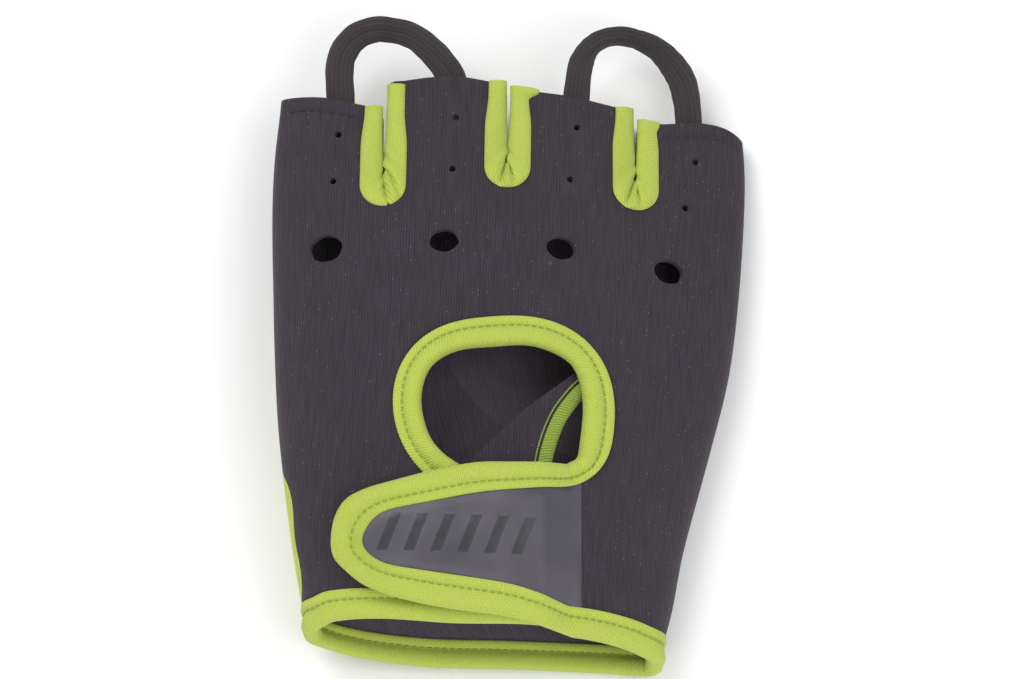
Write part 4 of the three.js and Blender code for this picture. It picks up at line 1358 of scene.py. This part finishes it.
@dataclass(frozen=True)
class Thumb:
    """The thumb, folded flat under the palm: dark outside, with a bright inner side gathered at its root."""

    sections: Table = Table(
        ("along", "outer", "inner", "height"),
        (
            (0.222, -0.206, -0.196, 0.1),
            (0.226, -0.214, -0.188, 0.3),
            (0.232, -0.244, -0.157, 0.55),
            (0.242, -0.272, -0.128, 0.75),
            (0.258, -0.298, -0.105, 0.88),
            (0.285, -0.325, -0.088, 0.96),
            (0.33, -0.355, -0.075, 1.0),
            (0.43, -0.393, -0.092, 1.0),
            (0.533, -0.405, -0.089, 1.0),
            (0.604, -0.393, -0.076, 1.0),
            (0.7, -0.352, -0.053, 0.97),
            (0.8, -0.298, -0.03, 0.92),
            (0.94, -0.21, -0.005, 0.86),
        ),
    )
    strip: Table = Table(
        ("along", "across"),
        ((0.15, -0.208), (0.352, -0.198), (0.507, -0.159), (0.713, -0.099), (0.8, -0.075), (0.95, -0.055)),
    )
    tip: tuple[float, float, float, float] = (0.04, 0.773, -0.36, 0.908)
    height: float = 9.7
    pressed: float = 0.3  # how far it is pressed flat against the floor
    squareness: float = 0.7
    rows: int = 110
    closeness: float = 1.25  # how much closer together the rows are at the root
    stitch_dent: tuple[float, float] = (0.4, 0.6)
    hem: float = 2.6  # from the tip to the dent of its stitches
    seam: tuple[float, float] = (0.24, 0.8)  # where the stitches of its side seam begin and end
    seam_off: float = 0.07  # their distance from the seam, in radians

    def sides(self, y: Array) -> tuple[Array, Array]:
        """Its outer and its inner side across, at distances from the wrist."""
        along = y / GLOVE_LENGTH
        return tuple(self.sections.read(side, along) * PALM_WIDTH for side in ("outer", "inner"))

    def point(self, turn: Array, y: Array) -> Array:
        """Points on the thumb's outside, from angles round it and distances from the wrist."""
        left, right = self.sides(y)
        half = self.height * self.sections.read("height", y / GLOVE_LENGTH) / 2
        c, s = np.cos(turn), np.sin(turn)
        x = (left + right) / 2 + (right - left) / 2 * np.sign(c) * np.abs(c) ** self.squareness
        z = half + half * np.sign(s) * np.abs(s) ** self.squareness - self.pressed
        return np.stack([x, y, np.maximum(z, 0)], -1)

    def seam_turn(self, y: Array) -> Array:
        """The angle round the thumb where the bright side meets the dark one, on its upper face."""
        left, right = self.sides(y)
        strip = self.strip.read("across", y / GLOVE_LENGTH) * PALM_WIDTH
        share = np.clip((2 * strip - left - right) / np.maximum(right - left, 0.1), -0.9, 0.9)
        return np.arccos(np.sign(share) * np.abs(share) ** (1 / self.squareness))

    def tip_at(self, x: Array) -> Array:
        """Distance of the slanted tip from the wrist, over places across."""
        x0, y0, x1, y1 = self.tip
        return (y0 + (y1 - y0) * (x / PALM_WIDTH - x0) / (x1 - x0)) * GLOVE_LENGTH

    def grid(self, side: ThumbSide) -> tuple[Array, Array]:
        """The angles and distances of one side's points, as rows along by points round."""
        root = self.sections.rows[0][0] * GLOVE_LENGTH
        share = np.linspace(0, 1, self.rows)[:, None] ** self.closeness
        t = np.linspace(0, 1, side.columns)[None, :]
        y = np.broadcast_to(root + share * 70, (self.rows, side.columns)).copy()
        for _ in range(10):
            seam = self.seam_turn(y)
            turn = -seam + 2 * seam * t if side.bright else seam + (2 * np.pi - 2 * seam) * t
            y = root + share * (self.tip_at(self.point(turn, y)[..., 0]) - root)
        return turn, y

    def cloth(self, side: ThumbSide) -> Shape:
        """The cloth of one side."""
        turn, y = self.grid(side)
        round_it = self.point(turn + 0.02, y) - self.point(turn - 0.02, y)
        along_it = self.point(turn, y + 0.4) - self.point(turn, y - 0.4)
        out = unit(np.cross(along_it, round_it))
        surface = self.point(turn, y)
        root = self.sections.rows[0][0] * GLOVE_LENGTH
        depth, reach, number = side.pleats
        pleats = depth * np.exp(-(((y - root) / reach) ** 2)) * (np.cos(turn * number + 0.6) - 1) / 2
        hem = self.tip_at(surface[..., 0]) - y
        rise = pleats + 0.5 * folds(2 * surface[..., 0], 2 * y) - dent(hem - self.hem, self.stitch_dent) - 0.15
        outer = surface + out * rise[..., None]
        inner = surface - out * CLOTH * smooth((y - root) / 6)[..., None]
        outer[..., 2] = np.maximum(outer[..., 2], 0)
        at = np.arange(turn.size).reshape(turn.shape)
        quads = np.stack([at[:-1, :-1], at[:-1, 1:], at[1:, 1:], at[1:, :-1]], -1).reshape(-1, 4)
        faces = np.vstack([quads[:, [0, 1, 2]], quads[:, [0, 2, 3]]])
        around = np.cumsum(np.linalg.norm(np.diff(surface, axis=1, prepend=surface[:, :1]), axis=2), axis=1)
        middle = side.columns // 2
        weave = np.stack([around - around[:, middle : middle + 1], y], -1).reshape(-1, 2)
        return Pattern(weave, faces).cloth(outer.reshape(-1, 3), inner.reshape(-1, 3), weave)

    def make(self) -> None:
        """Makes both sides and the stitches of the seam between them, under the palm."""
        for side in THUMB_SIDES:
            make_piece(side.name, self.cloth(side), side.finishes, side.slot, (side.name,))
        y = np.linspace(*self.seam, 120) * GLOVE_LENGTH
        down = np.tile([0.0, 0, -1], (len(y), 1))
        lines = [self.point(-(self.seam_turn(y) + off), y) - [0, 0, 0.05] for off in (self.seam_off, -self.seam_off)]
        make_stitches("thumb_stitches", [stitches(line, down, THUMB_STITCH) for line in lines], DARK_THREAD, "knit")


@dataclass(frozen=True)
class ClosureStrap:
    """The strap with its satin rubber patch, and the bound flap that it closes over."""

    over: float = 3.1  # height of the strap's middle over the back, on the flap's side
    sewn: float = -CLOTH / 2  # and at its sewn end, level with the back
    ramp: tuple[float, float] = (0.064, 0.14)  # places across between which it comes down to its sewn end
    end: tuple[float, float, float, float] = (0.124, 0.151, 0.292, 0.07)  # sewn end: its sides, top and bottom
    slit: tuple[float, float, float, float] = (0.06, 0.152, 0.29, -0.04)  # gap in the back under it, as its sides
    flap_over: float = 3.7  # depth of the flap's middle under the back
    flap_bound: float = 5.0  # and under its bound edge
    flap_ramp: tuple[float, float] = (-0.06, 0.07)  # where it goes down to that depth, and over how far
    flap_tape: Tape = Tape(
        width=4.1,
        fold=0.7,
        groove=0.82,
        profile=(
            (0.2, 0.3), (0.96, 0.3), (1.0, 0.8), (0.98, 1.2), (0.93, 1.2), (0.9, 0.7), (0.86, 0.5), (0.81, 0.5),
            (0.78, 1.0), (0.7, 1.2), (0.55, 1.35), (0.35, 1.35), (0.2, 1.25), (0.05, 0.9), (0.0, 0.0),
        ),
    )
    bars: int = 6
    bar_size: tuple[float, float] = (2.4, 8.0)
    bar_slant: float = 0.4
    bar_row: tuple[float, float] = (-0.25, 0.03)  # places across of the first and the last bar
    bar_height: float = 0.3
    edge_height: float = 0.5  # how far the rubber's moulded edge stands out

    @staticmethod
    def slit_corners() -> Array:
        """The hidden gap under the strap, as plan points."""
        flap, sewn, top, bottom = ClosureStrap.slit
        corners = [(flap, top), (flap, bottom), (sewn, bottom), (sewn, top)]
        return np.array(corners) * [PALM_WIDTH, GLOVE_LENGTH]

    @staticmethod
    def edges() -> list[Array]:
        """The strap's edge, and the stitched edge of the tape on it."""
        return [curve(STRAP.plan(*names), 6) for names in ((), ("stitched_across", "stitched_along"))]

    def down(self, x: Array) -> Array:
        """How far the strap has come down to the back, from 0 to 1, over places across."""
        return smooth((x / PALM_WIDTH - self.ramp[0]) / (self.ramp[1] - self.ramp[0]))

    def middle(self, x: Array, y: Array) -> Array:
        """Height of the strap's middle, which comes down to the cloth at its sewn end."""
        share = self.down(x)
        return FORM.height(x, y) + self.over * (1 - share) + self.sewn * share

    def on_strap(self, x: Array, y: Array) -> tuple[Array, Array]:
        """Points in the middle of the strap and their upward directions."""
        return frame_over(self.middle, x, y)

    def flap_middle(self, x: Array, y: Array) -> Array:
        """Height of the flap's middle."""
        down = smooth((x / PALM_WIDTH - self.flap_ramp[0]) / self.flap_ramp[1])
        return FORM.height(x, y) - self.flap_over * (1 - down) - self.flap_bound * down

    def on_flap(self, x: Array, y: Array) -> tuple[Array, Array]:
        """Points in the middle of the flap and their upward directions."""
        return frame_over(self.flap_middle, x, y)

    def bar_loops(self) -> list[Array]:
        """Outlines of the plain slanted bars on the patch."""
        half, top = self.bar_size[0] / 2, self.bar_size[1] / 2
        lean = self.bar_slant * top
        corners = [(-half - lean, -top), (half - lean, -top), (half + lean, top), (-half + lean, top)]
        made = []
        for across in np.linspace(*self.bar_row, self.bars):
            place = [across * PALM_WIDTH, (0.19 - 0.03 * (across + 0.1)) * GLOVE_LENGTH]
            made.append(spaced(np.array([*corners, corners[0]]) + place, 0.8)[:-1])
        return made

    def make(self) -> None:
        """Makes the strap, the flap and the flap's tape."""
        edge, stitched = self.edges()
        left, right, top, bottom = self.end
        corners = np.array([(left, bottom), (right, bottom), (right, top), (left, top)]) * [PALM_WIDTH, GLOVE_LENGTH]
        end = spaced(corners, 1.2)
        bars = self.bar_loops()
        pattern = Pattern.cut(np.vstack([edge, end]), [], 1.1, bars)
        x, y = pattern.points.T
        border = np.vstack([stitched, end])
        inset = distance(pattern.points, np.vstack([border, border[:1]]))
        rise = np.where(inside(pattern.points, border), self.edge_height * smooth(inset / 1.5), 0)
        rise = rise + 0.1 * np.sin(x / 9 + 1) * np.sin(y / 6)
        centres = pattern.points[pattern.faces].mean(axis=1)
        on_bar, looks = np.zeros(len(x), bool), np.zeros(len(centres), int)
        for bar in bars:
            on_bar |= inside(pattern.points, bar * 0.98 + bar.mean(axis=0) * 0.02)
            looks[inside(centres, bar)] = 2
        surface = self.on_strap(x, y)[0]
        up = np.array([0.0, 0.0, 1.0])
        outer = surface + up * (CLOTH / 2 + (rise + self.bar_height * on_bar)[:, None])
        shape = pattern.cloth(outer, surface - up * CLOTH / 2, pattern.points, looks)
        make_piece("closure_strap", shape, (RUBBER, LINING, DARK_RUBBER), "rubber_patch", ("closure_strap",))
        flap_edge = curve(FLAP_EDGE.plan())
        pattern = Pattern.cut(np.vstack([spaced(FLAP.plan(), 1.5), flap_edge]), [], 1.6)
        surface, out = self.on_flap(*pattern.points.T)
        shape = pattern.cloth(surface + out * CLOTH / 2, surface - out * CLOTH / 2, pattern.points)
        make_piece("under_flap", shape, (KNIT, LINING), "knit", ("under_flap",))
        tape = self.flap_tape
        lines = [beside(flap_edge, side) for side in (-tape.fold, tape.width - tape.fold)]
        lines = [np.column_stack([line, np.zeros(len(line))]) for line in lines]
        rings, weave, _, _ = tape.sewn(*lines, self.on_flap, 0.3)
        # the flap's tape is the binding tape painted darker as shade
        make_piece("flap_binding", swept(rings, weave), (SHADED_TAPE,), "tape", ("flap_binding",))


@dataclass(frozen=True)
class EdgeBinding:
    """The one long tape that binds the window, the strap and the wrist.

    It starts under the strap, runs round the window and into the strap's upper edge, round the strap's tip, along
    its lower edge and round the wrist, and ends under the strap again.
    """

    wrist: tuple[float, float] = (2 * math.pi + 1.066, 1.249)  # angles between which it runs round the wrist
    palm_narrowing: float = 0.3  # how much narrower it shows along the palm
    ease: float = 4.4  # over how many millimetres its stitched edge cuts the corners
    fold_ease: float = 0.5  # and its fold
    tape: Tape = Tape()

    def hem(self, angle: Array) -> tuple[Array, Array]:
        """The wrist hem round the glove.

        Args:
            angle: Angles round the glove.

        Returns:
            Distances from the wrist's line, and how far each place belongs to the back, from 0 to 1.
        """
        y = np.full(len(angle), 3.0)
        share = smooth(0.5 + np.sin(angle) / 0.4)
        for _ in range(5):
            x = FORM.point(angle, y)[:, 0]
            y = BACK_HEM.y_at(x) * share + PALM_HEM.y_at(x) * (1 - share)
        return y, share

    @staticmethod
    def eased(line: Array, guide: Array, reach: float) -> Array:
        """A line that cuts its corners.

        Args:
            line: The line.
            guide: The bound edge beside it, point by point, which the reach is measured along.
            reach: How far it eases over.

        Returns:
            The new line.
        """
        far = lengths(guide)
        share = np.exp(-(((far[:, None] - far[None, :]) / reach) ** 2)) * np.gradient(far)[None, :]
        moved = share @ line / share.sum(axis=1, keepdims=True)
        blend = smooth(np.minimum(far, far[-1] - far) / (2 * reach))[:, None]
        return line * (1 - blend) + moved * blend

    def lines(self) -> tuple[Array, Array]:
        """The tape's fold and its stitched edge, in columns of angle, y, lift and part.

        Returns:
            The two lines; the parts are 0 for the window, 1 for the strap and 2 for the wrist.
        """
        fold, sewn = self.tape.fold, self.tape.width - self.tape.fold
        window = curve(WINDOW.plan())
        edge, stitched = STRAP_PIECE.edges()
        lift = (STRAP_PIECE.over + CLOTH / 2) * (1 - STRAP_PIECE.down(edge[:, 0]))
        turn = np.linspace(*self.wrist, 420)
        hem, back = self.hem(turn)
        made = []
        for plan_window, plan_strap, wrist, ease in (
            (beside(window, -fold), edge + (edge - stitched) * fold / sewn, hem - fold, self.fold_ease),
            (beside(window, sewn), stitched, hem + sewn - self.palm_narrowing * (1 - back), self.ease),
        ):
            plan = self.eased(np.vstack([plan_window[::-1], plan_strap]), np.vstack([window[::-1], edge]), ease)
            angle = np.concatenate([FORM.angle(*plan.T) + 2 * np.pi, turn])
            raised = np.concatenate([np.zeros(len(window)), lift, np.zeros(len(turn))])
            part = np.repeat([0.0, 1.0, 2.0], [len(window), len(edge), len(turn)])
            made.append(np.column_stack([angle, np.concatenate([plan[:, 1], wrist]), raised, part]))
        return made[0], made[1]

    def make(self) -> None:
        """Makes the tape in its three parts, which meet ring on ring, and its stitches."""
        rings, weave, part, seam = self.tape.sewn(*self.lines(), FORM.in_cloth)
        for i, name in enumerate(("window_binding", "strap_binding", "wrist_binding")):
            mine = np.flatnonzero((part > i - 0.5) & (part <= i + 0.5))
            own = slice(mine[0], min(mine[-1] + 2, len(rings)))
            make_piece(name, swept(rings[own], weave[own]), (TAPE,), "tape", (name,))
        make_stitches("binding_stitches", [seam], BRIGHT_THREAD, "tape")


@dataclass(frozen=True)
class FingerSlots:
    """The puffed tapes round the slots between the fingers, from the back through to the palm.

    face gives the tape's side on the back, from its stitched edge to the slot: shares of its width from the slot,
    and heights over the outside of the cloth.
    """

    width: float = 4.7
    gap: float = 1.0
    fold: float = 1.2
    taper: float = 0.7  # how much narrower its two sides are at their ends
    rings: int = 110
    # Tucks of the tape at a slot's foot: millimetres past its middle, depth as a share of its height, and reach.
    # The one with a depth under 0 is a swell between the other two.
    tucks: tuple[tuple[float, float, float], ...] = ((-1.1, 0.75, 0.5), (0.6, -0.35, 0.8), (2.4, 0.4, 0.45))
    face: tuple[tuple[float, float], ...] = (
        (0.9, -0.35), (1.0, 0.0), (1.0, 0.3), (0.95, 0.62), (0.87, 0.95), (0.77, 1.22), (0.65, 1.42), (0.52, 1.55),
        (0.38, 1.6), (0.24, 1.5), (0.12, 1.25), (0.03, 0.8), (-0.03, 0.2),
    )
    # Its inside between the two faces: shares of the width, and of half the height between the faces.
    walls: tuple[tuple[float, float], ...] = ((0.0, 0.75), (0.05, 0.4), (0.05, -0.4), (0.0, -0.75))

    def path(self, slot: Slot, half: float, step: float, pinch: float = 0.0) -> Array:
        """The edge of a slot as plan points: down one side, round the end and up the other side.

        Args:
            slot: The slot.
            half: Half its width.
            step: The distance between two points.
            pinch: How far its foot is drawn together, from 0 to 1.

        Returns:
            The line.
        """
        foot = np.array([slot.across * PALM_WIDTH, slot.along * GLOVE_LENGTH])
        tops = np.array(slot.tops) * GLOVE_LENGTH
        ahead = np.array([slot.lean * PALM_WIDTH, tops.mean() - foot[1]])
        ahead /= np.linalg.norm(ahead)
        aside = np.array([ahead[1], -ahead[0]])
        legs = [np.linspace(0, top - foot[1], 30) for top in tops]
        bend = np.linspace(np.pi, 2 * np.pi, 25)[1:-1]
        low = half * (1 - 0.85 * pinch)
        taper = self.taper * (1 - pinch)
        reach = [low + (half - low) * smooth(leg / 14) - taper * smooth(leg / 9 - 1) for leg in legs]
        u = np.concatenate([-reach[0][::-1], low * np.cos(bend), reach[1]])
        v = np.concatenate([legs[0][::-1], low * np.sin(bend), legs[1]])
        return spaced(foot + u[:, None] * aside + v[:, None] * ahead, step)

    def binding(self, slot: Slot) -> Shape:
        """Makes the tape of one slot.

        Args:
            slot: The slot.

        Returns:
            The tape.
        """
        at = np.linspace(0, 1, self.rings)
        inner = Tape.evened(self.path(slot, self.gap / 2, 0.3, 1.0), at)
        outer = Tape.evened(self.path(slot, self.gap / 2 + self.width, 0.3), at)
        outer += np.array([slot.flare, -0.3 * slot.flare]) * smooth((at - 0.94) / 0.05)[:, None]
        run = lengths((inner + outer) / 2)
        past = (at - 0.5) * run[-1]
        low = np.exp(-((past / 5) ** 2))
        inner += np.array([0.45, 0.3]) * (low * np.sin(1.5 * past + 0.6))[:, None]
        rise = 1 + 0.2 * low * np.sin(2.4 * past) + 0.06 * np.sin(run / 1.9)
        for place, depth, reach in self.tucks:
            rise = rise - dent(past - place, (depth, reach))

        def over(rows: Array) -> Array:
            """Plan points across the tape."""
            return inner[:, None] * (1 - rows[None, :, :1]) + outer[:, None] * rows[None, :, :1]

        face, walls = np.array(self.face), np.array(self.walls)
        parts = []
        for side, rows in ((Side.BACK, face), (Side.PALM, face[::-1])):
            spots = over(rows)
            high = rows[:, 1] * np.where(rows[:, 1] > 0, rise[:, None], 1)
            parts.append((spots, FORM.height(spots[..., 0], spots[..., 1], side) + side.value * high))
        back, palm = [FORM.height(*inner.T, side) for side in Side]
        between = (back * 0.5 + palm * 0.5)[:, None] + (back - palm)[:, None] / 2 * walls[None, :, 1]
        parts.insert(1, (over(walls), between))
        ring = np.concatenate([np.concatenate([xy, np.maximum(z, 0)[..., None]], -1) for xy, z in parts], axis=1)
        one = ring[self.rings // 4]
        across = np.cumsum(np.linalg.norm(np.diff(one, axis=0, prepend=one[:1]), axis=1))
        return swept(ring[:, ::-1], pairs(run, across)[:, ::-1])

    def make(self) -> None:
        """Makes the three tapes."""
        for slot in SLOTS:
            name = f"slot_binding_{slot.name}"
            make_piece(name, self.binding(slot), (TAPE,), "tape", (name,))


@dataclass(frozen=True)
class PullLoops:
    """The two loops of dark elastic that pull the glove off, sewn inside the finger openings."""

    width: float = 6.4
    thickness: float = 1.6
    gap: float = 0.5
    crease: tuple[float, float] = (0.5, 0.16)  # along its middle: depth and reach, as shares of its half sizes
    index_middle: tuple[tuple[float, float, float], ...] = (
        (-0.356, -8, 0), (-0.356, -4, 0), (-0.356, 0, 0), (-0.359, 3.5, 12), (-0.348, 8, 20), (-0.316, 11.6, 32),
        (-0.262, 12.9, 40), (-0.206, 11.3, 32), (-0.161, 7.2, 18), (-0.134, 3.5, 8), (-0.12, 0, 0), (-0.12, -4, 0),
        (-0.12, -8, 0),
    )
    ring_little: tuple[tuple[float, float, float], ...] = (
        (0.142, -8, 0), (0.142, -4, 0), (0.142, 0, 0), (0.144, 4.4, 5), (0.153, 10.4, 12), (0.184, 15.6, 42),
        (0.242, 17.9, 62), (0.312, 15.6, 56), (0.36, 9.9, 30), (0.376, 4.4, 10), (0.381, 0, 0), (0.381, -4, 0),
        (0.381, -8, 0),
    )

    def loop(self, rows: tuple[tuple[float, float, float], ...]) -> Shape:
        """Makes one loop.

        Args:
            rows: Share across, reach beyond the finger edge and roll in degrees, along the loop.

        Returns:
            The loop's band.
        """
        table = np.array(rows)
        x = table[:, 0] * PALM_WIDTH
        base = float(FINGER_EDGE.y_at(np.array([(x[0] + x[-1]) / 2]))[0])
        start = np.where(table[:, 1] > 0, np.maximum(base, FINGER_EDGE.y_at(x) - 6), FINGER_EDGE.y_at(x))
        marks = spaced(curve(np.stack([x, start + table[:, 1], table[:, 2]], -1), 16), 0.7)
        drop = CLOTH + self.gap + self.thickness / 2

        def height(px: Array, py: Array) -> Array:
            """Height of the band's middle."""
            return FORM.height(px, np.minimum(py, FINGER_EDGE.y_at(px))) - drop

        points, normal = frame_over(height, marks[:, 0], marks[:, 1])
        run = unit(np.gradient(points, axis=0))
        normal = unit(normal - run * np.sum(normal * run, axis=1, keepdims=True))
        roll = np.radians(marks[:, 2])[:, None]
        out = normal * np.cos(roll) + np.cross(run, normal) * np.sin(roll)
        aside = np.cross(run, out)
        b = np.linspace(-1, 1, 19)
        crease = dent(b, self.crease) + 0.12 * np.cos(9 * b)
        top = (1 - np.abs(b) ** 5) * (1 - crease * 0.6) * self.thickness / 2
        ring = np.vstack([np.stack([b, top], -1), np.stack([b, -top], -1)[::-1][1:-1]])
        edge_wave = 1 + 0.012 * np.sin(np.arange(len(points)) / 2.3)
        cross = ring[None, :, 0] * self.width / 2 * edge_wave[:, None]
        rings = points[:, None] + aside[:, None] * cross[..., None] + out[:, None] * ring[None, :, 1, None]
        return swept(rings[:, ::-1], pairs(lengths(points), ring[:, 0] * self.width / 2)[:, ::-1])

    def make(self) -> None:
        """Makes both loops."""
        for name in ("index_middle", "ring_little"):
            shape = self.loop(getattr(self, name))
            make_piece(f"pull_loop_{name}", shape, (ELASTIC,), "elastic", (f"pull_loop_{name}",))


@dataclass(frozen=True)
class Studio:
    """The camera, the pale floor and the soft lights."""

    elevation: float = 77.0  # degrees over the floor
    away: float = 2.2
    view_width: float = 0.2296
    aim: tuple[float, float, float] = (0.0006, -0.0007, 0.018)
    sensor: float = 36.0
    floor: float = 1.5  # from its middle to its sides
    air: tuple[str, float] = ("f2f3f5", 0.55)  # colour and strength of the light from all round
    lamps: tuple[tuple[str, tuple[float, float, float], float, float], ...] = (
        ("key_light", (-0.45, 0.5, 0.9), 0.7, 6.6),
        ("fill_light", (0.6, -0.2, 0.9), 0.9, 4.4),
        ("front_light", (-0.1, -1.2, 0.45), 0.8, 5.0),
    )

    def look(self) -> None:
        """Makes the camera, as long a lens as the photograph's flat view needs."""
        lens = bpy.data.cameras.new("camera")
        lens.sensor_width = self.sensor
        lens.lens = self.away * self.sensor / self.view_width
        camera = placed("camera", lens)
        tilt = math.radians(self.elevation)
        aim = Vector(self.aim)
        camera.location = aim + self.away * Vector((0, -math.cos(tilt), math.sin(tilt)))
        camera.rotation_euler = (math.radians(90) - tilt, 0, 0)
        bpy.context.scene.camera = camera

    def lamp(self, name: str, place: tuple[float, float, float], size: float, power: float) -> None:
        """Hangs a square soft light that faces the glove.

        Args:
            name: Its name.
            place: Where it hangs.
            size: Its side.
            power: Its power in watts.
        """
        light = bpy.data.lights.new(name, "AREA")
        light.size = size
        light.energy = power
        lamp = placed(name, light)
        lamp.location = place
        lamp.rotation_euler = (Vector(self.aim) - Vector(place)).to_track_quat("-Z", "Y").to_euler()

    def make(self) -> None:
        """Makes the floor, the lights and the pale surroundings."""
        paper = StudioPaper("studio_paper", "fafafa", 0.9, 0.0, 0.02)
        corners = np.array([(-1.0, -1.0), (1.0, -1.0), (1.0, 1.0), (-1.0, 1.0)]) * self.floor
        mesh = bpy.data.meshes.new("floor")
        mesh.from_pydata([(x, y, 0.0) for x, y in corners.tolist()], [], [(0, 1, 2, 3)])
        mesh.uv_layers.new(name="weave").data.foreach_set("uv", (corners * 1000).astype(np.float32).ravel())
        mesh.materials.append(paper.material())
        floor = placed("floor", mesh)
        for lamp in self.lamps:
            self.lamp(*lamp)
        world = bpy.data.worlds.new("studio_air")
        world.use_nodes = True
        colour, strength = self.air
        sky = world.node_tree.nodes["Background"].inputs
        sky["Color"].default_value, sky["Strength"].default_value = linear(colour), strength
        bpy.context.scene.world = world
        bpy.context.scene.view_settings.view_transform = "Standard"


FINGER_SLOTS = FingerSlots()
BACK_OF_HAND = BackOfHand()
STRAP_PIECE = ClosureStrap()


def main() -> None:
    """Builds the scene in order."""
    logging.basicConfig(level=logging.INFO, format="%(message)s")
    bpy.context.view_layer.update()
    studio = Studio()
    studio.look()
    for part in (BACK_OF_HAND, Palm(), Thumb(), STRAP_PIECE, EdgeBinding(), FINGER_SLOTS, PullLoops(), studio):
        part.make()


if __name__ == "__main__":
    main()
